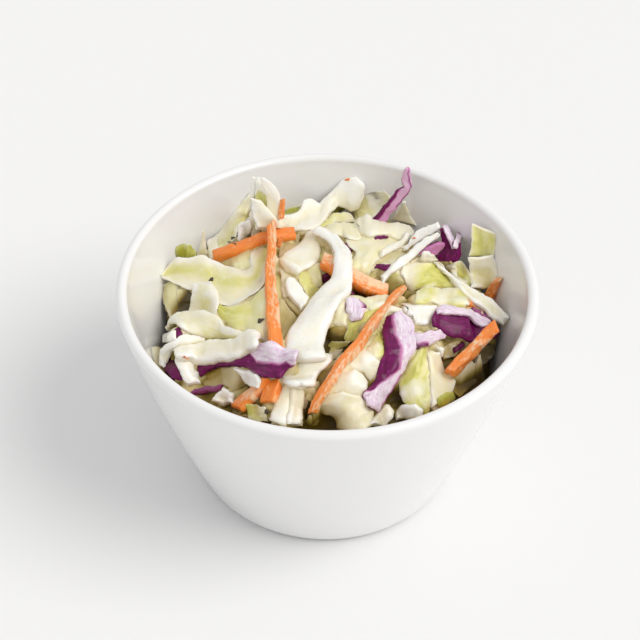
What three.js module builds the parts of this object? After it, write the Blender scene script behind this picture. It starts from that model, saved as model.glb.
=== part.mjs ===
// A small white glazed bowl filled with coleslaw.
// Millimetres, +Z up. The origin is the centre of the bowl's foot, on the table.
// Two solids: the bowl, turned about Z, and the heap of slaw that fills it and stands above its rim.

import * as THREE from "three";

// ---- Driving dimensions ----
const rimRadius = 55; // outside of the lip
const bowlHeight = 61.5;
const wallLineFootRadius = 34; // where the straight wall line would meet the table
const wallBulge = 1.1; // how far the wall bows out of that line, halfway up
const wallThickness = 3;
const footFillet = 3.8; // rounding between wall and foot
const footRingWidth = 3.2;
const footRecess = 1.2; // hollow under the bowl, inside the foot ring
const floorThickness = 3.6; // from the roof of the recess to the bowl's inside floor
const insideFillet = 9; // rounding between the inside floor and wall
const glazeGap = 0.35; // between the slaw and the bowl
const slawEdgeHeight = 45; // where the slaw meets the wall
const slawRise = 15.5; // from that edge to the middle of the heap
const domeFullness = 0.75; // 1 is a paraboloid; less is flatter on top and steeper at the wall
const shredWidth = 6.5;
const shredLength = 16;
const shredLift = 5; // how far a shred stands out of the heap
const shredEdge = 2.5; // how far a shred's side slopes out beyond its half width
const shredsOnTop = 30;
const shredSpread = 40; // radius of the part of the heap where shreds cross

// The line where the slaw meets the wall rises and falls in these waves round the bowl.
const edgeWaves = [
  { perTurn: 2, height: 1.4, start: 0.8 },
  { perTurn: 5, height: 1.1, start: 0 },
  { perTurn: 9, height: 0.8, start: 2 },
];

// ---- Fineness ----
const turns = 64; // steps round the axis
const wallSteps = 7;
const filletSteps = 5;
const lipSteps = 8;
const undersideSteps = 6;
const heapSteps = 24; // rings on the heap's top

const lipRadius = wallThickness / 2;
const lipZ = bowlHeight - lipRadius; // centre of the round lip

// The wall's outer radius at a height: a straight taper with a slight bow, to the lip.
function outerRadius(z) {
  const up = z / lipZ;
  const taper = wallLineFootRadius + (rimRadius - wallLineFootRadius) * up;
  return taper + wallBulge * 4 * up * (1 - up);
}

// The wall's inner radius at a height.
function innerRadius(z) {
  return outerRadius(z) - wallThickness;
}

// Lean of the wall from the vertical at a height, in radians.
function wallLean(z) {
  const step = 0.01;
  return Math.atan((outerRadius(z + step) - outerRadius(z - step)) / (2 * step));
}

// Points of an arc about (r, z), from one angle to another.
function arc(r, z, radius, from, to, steps) {
  const points = [];
  for (let i = 0; i <= steps; i++) {
    const angle = from + ((to - from) * i) / steps;
    points.push(new THREE.Vector2(r + radius * Math.cos(angle), z + radius * Math.sin(angle)));
  }
  return points;
}

// A fillet that rolls from a flat floor at the given height into a wall that leans outwards.
function floorToWall(radiusAt, floorZ, fillet) {
  const lean = wallLean(floorZ + fillet);
  const tangentZ = floorZ + fillet * (1 - Math.sin(lean));
  const centreR = radiusAt(tangentZ) - fillet * Math.cos(lean);
  return arc(centreR, floorZ + fillet, fillet, -Math.PI / 2, -lean, filletSteps);
}

// Points up a wall, between two heights, without its two ends.
function wallPoints(radiusAt, fromZ, toZ) {
  const points = [];
  for (let i = 1; i < wallSteps; i++) {
    const z = fromZ + ((toZ - fromZ) * i) / wallSteps;
    points.push(new THREE.Vector2(radiusAt(z), z));
  }
  return points;
}

// ---- Bowl: one turned shell, with a recessed foot and a round lip ----
const insideFloorZ = footRecess + floorThickness;

function bowlGeometry() {
  const outerFoot = floorToWall(outerRadius, 0, footFillet);
  const innerFoot = floorToWall(innerRadius, insideFloorZ, insideFillet);
  const ringInside = outerFoot[0].x - footRingWidth;
  const profile = [
    new THREE.Vector2(0, footRecess),
    new THREE.Vector2(ringInside - footRecess, footRecess),
    new THREE.Vector2(ringInside, 0),
    ...outerFoot,
    ...wallPoints(outerRadius, outerFoot.at(-1).y, lipZ),
    ...arc(innerRadius(lipZ) + lipRadius, lipZ, lipRadius, 0, Math.PI, lipSteps),
    ...wallPoints(innerRadius, lipZ, innerFoot.at(-1).y),
    ...innerFoot.reverse(),
    new THREE.Vector2(0, insideFloorZ),
  ];
  return new THREE.LatheGeometry(profile, turns).rotateX(Math.PI / 2);
}

// ---- Slaw: the heap, from the bowl's floor to an uneven top of crossing shreds ----
const slawFloorZ = insideFloorZ + glazeGap;

// An uneven factor about 1 for the i-th shred, by the given share either way.
function uneven(i, share, step) {
  return 1 + share * Math.sin(step * i);
}

// Shreds that show on top of the heap. Each has its middle, heading, length, width and lift.
// A golden-angle spiral spreads them evenly, and their headings turn with them.
function crossingShreds() {
  const goldenAngle = Math.PI * (3 - Math.sqrt(5));
  const headingPerRound = 1.7;
  const shreds = [];
  for (let i = 0; i < shredsOnTop; i++) {
    const round = i * goldenAngle;
    const out = shredSpread * Math.sqrt((i + 0.5) / shredsOnTop);
    shreds.push({
      x: out * Math.cos(round),
      y: out * Math.sin(round),
      heading: headingPerRound * round,
      length: shredLength * uneven(i, 0.55, 2.3),
      width: shredWidth * uneven(i, 0.3, 3.1),
      lift: shredLift * uneven(i, 0.3, 1.9),
    });
  }
  return shreds;
}

// The shreds that stand up at the back of the heap: a red strip, a leaf tip and a knot of rib.
const standingShreds = [
  { x: 20, y: 34, heading: 1.2, length: 5, width: 8, lift: 12 },
  { x: -15.5, y: 34, heading: 1.9, length: 5, width: 9, lift: 10 },
  { x: 6, y: 33, heading: 0.3, length: 8, width: 9, lift: 9 },
];
const shreds = [...crossingShreds(), ...standingShreds];

// How far the highest shred over a point lifts the surface.
// Each is a round-topped ridge with round ends.
function shredRelief(x, y) {
  let relief = 0;
  for (const shred of shreds) {
    const dx = x - shred.x;
    const dy = y - shred.y;
    const along = dx * Math.cos(shred.heading) + dy * Math.sin(shred.heading);
    const across = -dx * Math.sin(shred.heading) + dy * Math.cos(shred.heading);
    const beyond = Math.max(0, Math.abs(along) - shred.length / 2);
    const away = Math.hypot(beyond, across) / (shred.width / 2 + shredEdge);
    if (away < 1) relief = Math.max(relief, shred.lift * (1 - away * away) ** 2);
  }
  return relief;
}

// The height at which the slaw meets the wall, which wanders round the bowl.
function edgeHeight(round) {
  let height = slawEdgeHeight;
  for (const wave of edgeWaves) height += wave.height * Math.sin(wave.perTurn * round + wave.start);
  return height;
}

// A point on the heap's top: share 0 is the wall, and share 1 the middle.
function topPoint(share, round) {
  const edgeZ = edgeHeight(round);
  const edgeR = innerRadius(edgeZ) - glazeGap;
  const r = edgeR * (1 - share);
  const x = r * Math.cos(round);
  const y = r * Math.sin(round);
  const dome = slawRise * Math.pow(1 - (r / edgeR) ** 2, domeFullness);
  const settled = Math.min(1, (edgeR - r) / shredWidth, r / shredWidth); // flatter at wall and middle
  return [x, y, edgeZ + dome + shredRelief(x, y) * settled];
}

// A point on the heap's underside, which follows the inside of the bowl at the glaze gap.
function sidePoint(profile, share, round) {
  const foot = profile.at(-1);
  if (share === 0) return [foot.x * Math.cos(round), foot.x * Math.sin(round), foot.y];
  const z = foot.y + (edgeHeight(round) - foot.y) * share;
  const r = innerRadius(z) - glazeGap;
  return [r * Math.cos(round), r * Math.sin(round), z];
}

// One closed surface: floor centre, fillet, side, top, and the middle of the top.
function slawGeometry() {
  const lower = floorToWall((z) => innerRadius(z) - glazeGap, slawFloorZ, insideFillet);
  const rings = [];
  for (const point of lower.slice(0, -1)) {
    rings.push((round) => [point.x * Math.cos(round), point.x * Math.sin(round), point.y]);
  }
  for (let i = 0; i < undersideSteps; i++) {
    rings.push((round) => sidePoint(lower, i / undersideSteps, round));
  }
  for (let i = 0; i < heapSteps; i++) {
    rings.push((round) => topPoint(i / heapSteps, round));
  }

  const positions = [0, 0, slawFloorZ];
  for (const ring of rings) {
    for (let j = 0; j < turns; j++) positions.push(...ring((j / turns) * 2 * Math.PI));
  }
  positions.push(...topPoint(1, 0));
  const lastVertex = positions.length / 3 - 1;

  const indices = [];
  const at = (ring, j) => 1 + ring * turns + (j % turns);
  for (let j = 0; j < turns; j++) {
    indices.push(0, at(0, j + 1), at(0, j));
    for (let ring = 0; ring + 1 < rings.length; ring++) {
      indices.push(at(ring, j), at(ring, j + 1), at(ring + 1, j));
      indices.push(at(ring, j + 1), at(ring + 1, j + 1), at(ring + 1, j));
    }
    indices.push(at(rings.length - 1, j), at(rings.length - 1, j + 1), lastVertex);
  }
  const geometry = new THREE.BufferGeometry();
  geometry.setAttribute("position", new THREE.Float32BufferAttribute(positions, 3));
  geometry.setIndex(indices);
  geometry.computeVertexNormals();
  return geometry;
}

// ---- Scene graph ----
function piece(name, geometry, material) {
  const mesh = new THREE.Mesh(geometry, material);
  mesh.name = name;
  return mesh;
}

const whiteGlaze = new THREE.MeshStandardMaterial({ color: 0xf3f2f0, roughness: 0.18, metalness: 0 });
const dressedShreds = new THREE.MeshStandardMaterial({ color: 0xe9e8c8, roughness: 0.38, metalness: 0 });

const coleslaw = new THREE.Group();
coleslaw.name = "coleslaw";
coleslaw.add(piece("bowl", bowlGeometry(), whiteGlaze));
coleslaw.add(piece("slaw", slawGeometry(), dressedShreds));

export default coleslaw;
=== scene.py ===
import math

import bpy
import numpy as np
from mathutils import Matrix, Vector


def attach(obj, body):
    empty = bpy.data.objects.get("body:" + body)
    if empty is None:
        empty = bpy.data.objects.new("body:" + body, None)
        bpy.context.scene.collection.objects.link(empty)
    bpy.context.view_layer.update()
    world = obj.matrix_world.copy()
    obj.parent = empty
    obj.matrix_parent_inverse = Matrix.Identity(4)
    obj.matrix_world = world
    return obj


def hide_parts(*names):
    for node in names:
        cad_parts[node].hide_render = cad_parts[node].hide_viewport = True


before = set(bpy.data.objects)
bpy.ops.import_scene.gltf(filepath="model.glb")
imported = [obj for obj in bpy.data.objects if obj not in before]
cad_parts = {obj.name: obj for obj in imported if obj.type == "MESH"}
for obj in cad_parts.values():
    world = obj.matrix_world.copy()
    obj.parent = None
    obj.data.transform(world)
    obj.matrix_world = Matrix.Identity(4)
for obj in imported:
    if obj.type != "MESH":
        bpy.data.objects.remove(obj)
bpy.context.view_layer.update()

MM = 0.001

# ---- The table, the light and the view ----
# A bowl of salad on a plain pale table, looked down on from the front. Soft daylight comes from a window
# at the right, a little in front, and pale walls fill the shadows.
RIM_RADIUS = 55.0
BOWL_HEIGHT = 61.5
PICTURE_SIDE = 640
FOCAL_LENGTH_PX = 2539.0
VIEW_DISTANCE = 12.0 * RIM_RADIUS
VIEW_ELEVATION = math.radians(42.16)
RIM_CENTRE_PX = (329.4, 285.0)
PICTURE_ROLL = math.radians(0.85)
SENSOR_MM = 36.0
MID = PICTURE_SIDE / 2

eye_height = BOWL_HEIGHT + VIEW_DISTANCE * math.sin(VIEW_ELEVATION)
eye = np.array([0.0, -VIEW_DISTANCE * math.cos(VIEW_ELEVATION), eye_height])
pitch = VIEW_ELEVATION - math.atan((RIM_CENTRE_PX[1] - MID) / FOCAL_LENGTH_PX)
yaw = math.atan((RIM_CENTRE_PX[0] - MID) / FOCAL_LENGTH_PX)
ahead = np.array([-math.cos(pitch) * math.sin(yaw), math.cos(pitch) * math.cos(yaw), -math.sin(pitch)])
level_right = np.cross(ahead, [0.0, 0.0, 1.0])
level_right /= np.linalg.norm(level_right)
level_up = np.cross(level_right, ahead)
view_right = level_right * math.cos(PICTURE_ROLL) + level_up * math.sin(PICTURE_ROLL)
view_up = level_up * math.cos(PICTURE_ROLL) - level_right * math.sin(PICTURE_ROLL)

camera = bpy.data.objects.new("camera", bpy.data.cameras.new("camera"))
bpy.context.scene.collection.objects.link(camera)
camera.data.sensor_width = SENSOR_MM
camera.data.lens = SENSOR_MM * FOCAL_LENGTH_PX / PICTURE_SIDE
camera.data.clip_start = 0.01
camera.data.clip_end = 20.0
axes = np.column_stack([view_right, view_up, -ahead])
camera.matrix_world = Matrix.Translation(Vector(eye * MM)) @ Matrix(axes.tolist()).to_4x4()
bpy.context.scene.camera = camera
bpy.context.scene.view_settings.view_transform = "Standard"


def new_material(name, **settings):
    """A material whose shader has the given plain socket values, with its tree and its shader."""
    material = bpy.data.materials.new(name)
    material.use_nodes = True
    shader = material.node_tree.nodes["Principled BSDF"]
    for socket, value in settings.items():
        shader.inputs[socket.replace("_", " ")].default_value = value
    return material, material.node_tree, shader


def new_object(name, points, faces, material, smooth=True):
    """A mesh object from points in millimetres and lists of corner numbers."""
    mesh = bpy.data.meshes.new(name)
    mesh.from_pydata((np.asarray(points) * MM).tolist(), [], faces)
    mesh.materials.append(material)
    mesh.polygons.foreach_set("use_smooth", np.full(len(mesh.polygons), smooth))
    mesh.update()
    piece = bpy.data.objects.new(name, mesh)
    bpy.context.scene.collection.objects.link(piece)
    return piece


TABLE_HALF = 3000.0
table_material = new_material("pale_table", Base_Color=(0.86, 0.86, 0.86, 1), Roughness=0.6)[0]
corners = TABLE_HALF * np.array([[-1, -1, 0], [1, -1, 0], [1, 1, 0], [-1, 1, 0]])
table = new_object("table", corners, [[0, 1, 2, 3]], table_material)

world = bpy.data.worlds.new("pale_room")
world.use_nodes = True
background = world.node_tree.nodes["Background"]
background.inputs["Color"].default_value = (1.0, 1.0, 1.0, 1)
background.inputs["Strength"].default_value = 0.70
bpy.context.scene.world = world

TOWARD_TABLE = Vector((-0.608, 0.209, -0.766))
sun = bpy.data.lights.new("window", "SUN")
sun.energy = 1.52
sun.angle = math.radians(38)
sun.color = (1.0, 0.985, 0.96)
window = bpy.data.objects.new("window", sun)
bpy.context.scene.collection.objects.link(window)
window.rotation_euler = TOWARD_TABLE.to_track_quat("-Z", "Y").to_euler()

# ---- The bowl ----
# A plain white bowl with tapered, slightly bowed sides, a round lip and a recessed foot. It is glazed
# porcelain, turned on a wheel, so its glaze is smooth with a faint unevenness.
WALL_LINE_FOOT_RADIUS = 34.0
WALL_BULGE = 1.1
WALL_THICKNESS = 3.0
FOOT_FILLET = 3.8
FOOT_RING_WIDTH = 3.2
FOOT_RECESS = 1.2
FOOT_EDGE = 0.5
INSIDE_FLOOR = 4.8
INSIDE_FILLET = 9.0
LIP_RADIUS = WALL_THICKNESS / 2
LIP_Z = BOWL_HEIGHT - LIP_RADIUS
SLOPE_STEP = 0.01
WALL_STEPS = 30
BOWL_TURNS = 256


def outer_radius(z):
    """Radius of the bowl's outside at a height: a straight taper plus a parabolic bow."""
    up = np.asarray(z) / LIP_Z
    taper = WALL_LINE_FOOT_RADIUS + (RIM_RADIUS - WALL_LINE_FOOT_RADIUS) * up
    return taper + WALL_BULGE * 4 * up * (1 - up)


def inner_radius(z):
    """Radius of the bowl's inside at a height."""
    return outer_radius(z) - WALL_THICKNESS


def arc(r, z, radius, start, end, steps):
    """Points on a circle about (r, z) from one angle to another, in degrees."""
    turn = np.radians(np.linspace(start, end, steps))
    return np.column_stack([r + radius * np.cos(turn), z + radius * np.sin(turn)])


def floor_to_wall(radius_at, floor, fillet, steps):
    """Arc from a flat floor into a leaning wall. It starts level and ends in line with the wall."""
    middle = floor + fillet
    rise = float(outer_radius(middle + SLOPE_STEP) - outer_radius(middle - SLOPE_STEP))
    lean = math.atan(rise / (2 * SLOPE_STEP))
    touch = floor + fillet * (1 - math.sin(lean))
    centre = float(radius_at(touch)) - fillet * math.cos(lean)
    return arc(centre, floor + fillet, fillet, -90, -math.degrees(lean), steps)


def wall(radius_at, bottom, top, steps):
    """Points up a wall between two heights, without the two ends."""
    z = np.linspace(bottom, top, steps + 2)[1:-1]
    return np.column_stack([radius_at(z), z])


def turned(profile, turns):
    """Surface of revolution: each point of the profile becomes a ring, but the first and last are poles."""
    angle = np.linspace(0, 2 * math.pi, turns, endpoint=False)
    rings = profile[1:-1]
    x = rings[:, :1] * np.cos(angle)
    y = rings[:, :1] * np.sin(angle)
    z = np.repeat(rings[:, 1:], turns, axis=1)
    poles = np.array([[0, 0, profile[0, 1]], [0, 0, profile[-1, 1]]])
    points = np.concatenate([poles[:1], np.stack([x, y, z], -1).reshape(-1, 3), poles[1:]])
    number = 1 + np.arange(len(rings) * turns).reshape(len(rings), turns)
    after = np.roll(number, -1, axis=1)
    faces = np.stack([number[:-1], after[:-1], after[1:], number[1:]], -1).reshape(-1, 4).tolist()
    faces += np.stack([np.zeros(turns, int), after[0], number[0]], -1).tolist()
    faces += np.stack([np.full(turns, len(points) - 1), number[-1], after[-1]], -1).tolist()
    return points, faces


outside_foot = floor_to_wall(outer_radius, 0.0, FOOT_FILLET, 10)
inside_foot = floor_to_wall(inner_radius, INSIDE_FLOOR, INSIDE_FILLET, 14)
ring_inside = outside_foot[0, 0] - FOOT_RING_WIDTH
bowl_profile = np.concatenate([
    [[0, FOOT_RECESS], [ring_inside * 0.5, FOOT_RECESS]],
    arc(ring_inside - 2 * FOOT_EDGE, FOOT_RECESS - FOOT_EDGE, FOOT_EDGE, 90, 0, 5),
    arc(ring_inside + FOOT_EDGE, FOOT_EDGE, FOOT_EDGE, 180, 270, 5),
    outside_foot,
    wall(outer_radius, outside_foot[-1, 1], LIP_Z, WALL_STEPS),
    arc(float(inner_radius(LIP_Z)) + LIP_RADIUS, LIP_Z, LIP_RADIUS, 0, 180, 15),
    wall(inner_radius, LIP_Z, inside_foot[-1, 1], WALL_STEPS),
    inside_foot[::-1],
    [[inside_foot[0, 0] * 0.5, INSIDE_FLOOR], [0, INSIDE_FLOOR]],
])


def noise(tree, scale, detail, place=None):
    """Smooth random patches of the given fineness, read at a place or else at each point of the object."""
    if place is None:
        place = tree.nodes.new("ShaderNodeTexCoord").outputs["Object"]
    node = tree.nodes.new("ShaderNodeTexNoise")
    node.inputs["Scale"].default_value = scale
    node.inputs["Detail"].default_value = detail
    tree.links.new(place, node.inputs["Vector"])
    return node.outputs["Fac"]


def stretched(tree, value, start, end, low=0.0, high=1.0):
    """A value mapped so that start becomes low and end becomes high, and held between the two."""
    node = tree.nodes.new("ShaderNodeMapRange")
    for socket, number in (("From Min", start), ("From Max", end), ("To Min", low), ("To Max", high)):
        node.inputs[socket].default_value = number
    tree.links.new(value, node.inputs["Value"])
    return node.outputs["Result"]


def relief(tree, height, strength, distance):
    """A normal that makes a height show as relief."""
    node = tree.nodes.new("ShaderNodeBump")
    node.inputs["Strength"].default_value = strength
    node.inputs["Distance"].default_value = distance
    tree.links.new(height, node.inputs["Height"])
    return node.outputs["Normal"]


glaze, tree, shader = new_material("white_glaze", Base_Color=(0.87, 0.868, 0.867, 1), Coat_Weight=0.35,
                                   Coat_Roughness=0.06)
unevenness = noise(tree, 45.0, 2.0)
tree.links.new(stretched(tree, unevenness, 0.0, 1.0, 0.16, 0.28), shader.inputs["Roughness"])
tree.links.new(relief(tree, unevenness, 0.12, 0.0004), shader.inputs["Normal"])

bowl = new_object("bowl_glazed", *turned(bowl_profile, BOWL_TURNS), glaze)
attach(bowl, "root")
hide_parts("bowl")

# ---- The shape of the heap ----
# The slaw is heaped into a dome that stands highest in the middle. Most of it is packed; only the shreds
# above a fixed depth lie loose.
GLAZE_GAP = 0.35
HEAP_EDGE = 44.5
HEAP_EDGE_BACK = 3.0
HEAP_EDGE_FADE = 30.0
HEAP_TOP = 61.0
HEAP_FULLNESS = 0.8
PACKED_DEPTH = 7.5
PACKED_EDGE_DROP = 3.0
PACKED_LUMPS = ((1.2, 11.0, 3), (0.5, 4.5, 4))  # height, size and seed
GRID_HALF = 56.0
GRID_STEP = 0.5


def heap_height(x, y):
    """Height of the heap's outline: a dome raised on an edge that is higher at the back."""
    r = np.hypot(x, y)
    toward_back = np.divide(y, np.maximum(r, 1e-6))
    edge = HEAP_EDGE + HEAP_EDGE_BACK * toward_back * np.clip(r / HEAP_EDGE_FADE, 0, 1)
    reach = inner_radius(edge)
    return edge + (HEAP_TOP - edge) * np.clip(1 - (r / reach) ** 2, 0, 1) ** HEAP_FULLNESS


def lumps(x, y, size, seed):
    """Smooth unevenness, mostly between -1 and 1: a quarter of the sum of eight waves in as many
    directions, about one size long."""
    pick = np.random.default_rng(seed)
    total = 0.0
    for _ in range(8):
        heading, start = pick.uniform(0, 2 * math.pi, 2)
        length = size * pick.uniform(0.7, 1.8)
        along = x * math.cos(heading) + y * math.sin(heading)
        total = total + np.sin(2 * math.pi * along / length + start)
    return total / 4


def creases(x, y, size, seed):
    """Sharp-edged unevenness between -1 and 1: the mean of three triangle waves in as many directions,
    about one size long."""
    pick = np.random.default_rng(seed)
    total = 0.0
    for _ in range(3):
        heading, _ = pick.uniform(0, 2 * math.pi, 2)
        length = size * pick.uniform(0.8, 1.8)
        along = x * math.cos(heading) + y * math.sin(heading)
        total = total + 4 * np.abs(along / length % 1 - 0.5) - 1
    return total / 3


def packed_height(x, y):
    """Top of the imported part: a fixed depth below the heap's outline, with lumps."""
    top = heap_height(x, y) - PACKED_DEPTH
    for high, size, seed in PACKED_LUMPS:
        top = top + high * lumps(x, y, size, seed)
    return top


def packed_radius(z):
    """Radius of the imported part's side at a height: it stays clear of the bowl's inside by the gap."""
    return inner_radius(z) - GLAZE_GAP


packed_edge = HEAP_EDGE - PACKED_DEPTH - PACKED_EDGE_DROP
packed_rim = float(packed_radius(packed_edge))

# ---- How shreds come to rest ----
# Every loose shred lies on what was dropped before it. The pile's height is kept on a grid, each shred is
# let down on it along straight lines, and then the grid is raised by the shred.
WALL_CLEARANCE = 0.03
BEYOND_WALL_SLOPE = 3.0
marks = np.arange(-GRID_HALF, GRID_HALF + GRID_STEP / 2, GRID_STEP)
grid_x, grid_y = np.meshgrid(marks, marks, indexing="ij")
grid_r = np.hypot(grid_x, grid_y)
heights = np.linspace(0, BOWL_HEIGHT, 400)
wall_height = np.interp(grid_r, inner_radius(heights), heights)
wall_height += BEYOND_WALL_SLOPE * np.maximum(0, grid_r - inner_radius(BOWL_HEIGHT))
packed_top = np.maximum(wall_height, np.where(grid_r < packed_rim, packed_height(grid_x, grid_y), -1.0))
pile = packed_top.copy()


def height_on(field, x, y):
    """A grid field's values at points: its four nearest values, mixed by distance."""
    last = len(marks) - 1.001
    col = np.clip((x + GRID_HALF) / GRID_STEP, 0, last)
    row = np.clip((y + GRID_HALF) / GRID_STEP, 0, last)
    i, j = col.astype(int), row.astype(int)
    a, b = col - i, row - j
    near = field[i, j] * (1 - b) + field[i, j + 1] * b
    far = field[i + 1, j] * (1 - b) + field[i + 1, j + 1] * b
    return near * (1 - a) + far * a


def eased(field, passes):
    """A field on a grid after repeated averaging of each value with its neighbours along both ways."""
    for _ in range(passes):
        field = np.concatenate([field[:1], field, field[-1:]])
        field = (field[:-2] + 2 * field[1:-1] + field[2:]) / 4
        field = np.concatenate([field[:, :1], field, field[:, -1:]], axis=1)
        field = (field[:, :-2] + 2 * field[:, 1:-1] + field[:, 2:]) / 4
    return field


SAG = 1.8  # how far a limp shred may sag below the curve through what it meets
BITE = 0.15  # how far a limp shred may press into what it meets
CLEAR_PERCENT = 88  # how much of a stiff shred is clear of what it meets


def at_rest(hits, along, across, stiff):
    """How far down its lines a shred comes to rest. First comes the curve a + b s + c s^2 + d u through
    the depths at which it meets the pile. A stiff one, with stiff below zero, is that curve, moved up
    until nearly all of it is clear. A limp one sags onto what it meets, but not far below that curve:
    its depths are eased, keeping the nearer."""
    s = np.repeat(along[:, None], hits.shape[1], 1).ravel()
    u = np.repeat(across[None, :], hits.shape[0], 0).ravel()
    terms = np.column_stack([np.ones_like(s), s, s * s, u])
    for _ in range(3):
        fit = (terms @ np.linalg.lstsq(terms, hits.ravel(), rcond=None)[0]).reshape(hits.shape)
        if stiff < 0:
            return fit - np.percentile(fit - hits, CLEAR_PERCENT)
        hits = np.minimum(hits, fit + SAG)
    rest = hits
    for _ in range(stiff):
        rest = np.minimum(hits, eased(rest, 1))
    for _ in range(3):
        rest = np.minimum(hits + BITE, eased(rest, 1))
    return eased(rest, 1)


def closer_at_ends(count):
    """Numbers from -1 to 1 that lie closer towards both: the sine of even steps from -90 to 90 degrees."""
    return np.sin(np.linspace(-math.pi / 2, math.pi / 2, count))


def length_along(path):
    """How far along a path in the plane each of its points lies."""
    return np.concatenate([[0], np.cumsum(np.hypot(*np.diff(path, axis=0).T))])


def unit(vectors):
    """Vectors scaled to a length of one."""
    return vectors / np.maximum(np.linalg.norm(vectors, axis=-1, keepdims=True), 1e-9)


def curve_through(rows_given, count):
    """A smooth curve through rows of numbers (Catmull-Rom), with its samples closer towards both ends."""
    rows = np.asarray(rows_given, float)
    reached = length_along(rows[:, :2])
    share = 0.5 + 0.5 * closer_at_ends(count)
    at = np.interp(share * reached[-1], reached, np.arange(len(rows)))
    k = np.minimum(at.astype(int), len(rows) - 2)
    f = (at - k)[:, None]
    padded = np.concatenate([2 * rows[:1] - rows[1:2], rows, 2 * rows[-1:] - rows[-2:-1]])
    p0, p1, p2, p3 = padded[k], padded[k + 1], padded[k + 2], padded[k + 3]
    curve = 2 * p1 + (p2 - p0) * f + (2 * p0 - 5 * p1 + 4 * p2 - p3) * f**2
    curve = 0.5 * (curve + (3 * p1 - p0 - 3 * p2 + p3) * f**3)
    return curve, share


SEARCH_FROM = VIEW_DISTANCE - 75.0
SEARCH_TO = VIEW_DISTANCE + 80.0
SEARCH_STEP = 0.7
ENTERED_BY = 0.2  # how far inside the wall a line of sight has entered the bowl
NOT_ENTERED = 50.0  # stands for a height above the field before that


def marched(directions, field):
    """How far along each line of sight a height field is met: the first step, once the line is inside
    the bowl, at which it is under the field, refined between that step and the one before. A line that
    stays outside the bowl ends at the heap's edge height."""
    depths = np.arange(SEARCH_FROM, SEARCH_TO, SEARCH_STEP)
    flat = directions.reshape(-1, 3)
    x, y, z = (eye[k] + flat[:, k:k + 1] * depths for k in range(3))
    entered = np.maximum.accumulate(np.hypot(x, y) < inner_radius(z) - ENTERED_BY, axis=1)
    above = np.where(entered, z - height_on(field, x, y), NOT_ENTERED)
    first = np.clip(np.argmax(above < 0, axis=1), 1, None)
    row = np.arange(len(flat))
    before, after = above[row, first - 1], above[row, first]
    crossed = np.clip(before / np.maximum(before - after, 1e-6), 0, 1)
    part = np.where(before < NOT_ENTERED, crossed, 1.0)
    refined = depths[first - 1] + part * (depths[1] - depths[0])
    met = np.where(first > 1, refined, (HEAP_EDGE - eye[2]) / flat[:, 2])
    return met.reshape(directions.shape[:-1])


def sight_lines(spots):
    """Unit directions from the eye through places in the picture."""
    x = (spots[..., 0] - MID) / FOCAL_LENGTH_PX
    y = (MID - spots[..., 1]) / FOCAL_LENGTH_PX
    return unit(ahead + x[..., None] * view_right + y[..., None] * view_up)


def ridge(across, bend, form):
    """Height of a shred's middle above its edges: a round arch, a sharp ridge, or an S."""
    if form == "ridge":
        return bend * (1 - np.abs(across))
    if form == "wave":
        return bend * np.sin(across * math.pi)
    return bend * (1 - across**2)


KINDS = {  # the piece that each kind is joined into, and its material
    "cabbage_rib": ("cabbage_ribs", "cabbage"),
    "cabbage_leaf": ("cabbage_leaves", "cabbage"),
    "carrot": ("carrot_sticks", "carrot"),
    "red_cabbage": ("red_cabbage_strips", "red_cabbage"),
}
gathered = {kind: [] for kind in KINDS}
shred_count = 0


def doubled(sheet):
    """A sheet with a row more between each two of its rows, halfway."""
    middle = (sheet[1:] + sheet[:-1]) / 2
    rows = np.stack([sheet[:-1], middle], 1).reshape(-1, *sheet.shape[1:])
    return np.concatenate([rows, sheet[-1:]])


def raise_pile(sheet):
    """Raises the pile to a shred's upper sheet, whose points are first made closer than the grid's."""
    sheet = doubled(doubled(sheet))
    sheet = doubled(sheet.swapaxes(0, 1))
    i = np.rint((sheet[..., 0] + GRID_HALF) / GRID_STEP).astype(int)
    j = np.rint((sheet[..., 1] + GRID_HALF) / GRID_STEP).astype(int)
    inside = (i >= 0) & (j >= 0) & (i < len(marks)) & (j < len(marks))
    np.maximum.at(pile, (i[inside], j[inside]), sheet[..., 2][inside])


def quads_of(number):
    """The corners of every square of a grid of numbered points, in turn round it."""
    return np.stack([number[:-1, :-1], number[1:, :-1], number[1:, 1:], number[:-1, 1:]], -1).reshape(-1, 4)


def inside_wall(sheet):
    """A sheet whose points below the rim are pulled in towards the axis until they clear the wall."""
    r = np.hypot(sheet[..., 0], sheet[..., 1])
    room = inner_radius(np.clip(sheet[..., 2], INSIDE_FLOOR, BOWL_HEIGHT)) - WALL_CLEARANCE
    within = np.where(sheet[..., 2] < BOWL_HEIGHT + 1, np.minimum(1, room / np.maximum(r, 1e-6)), 1)
    return sheet * np.stack([within, within, np.ones_like(within)], -1)


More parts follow.
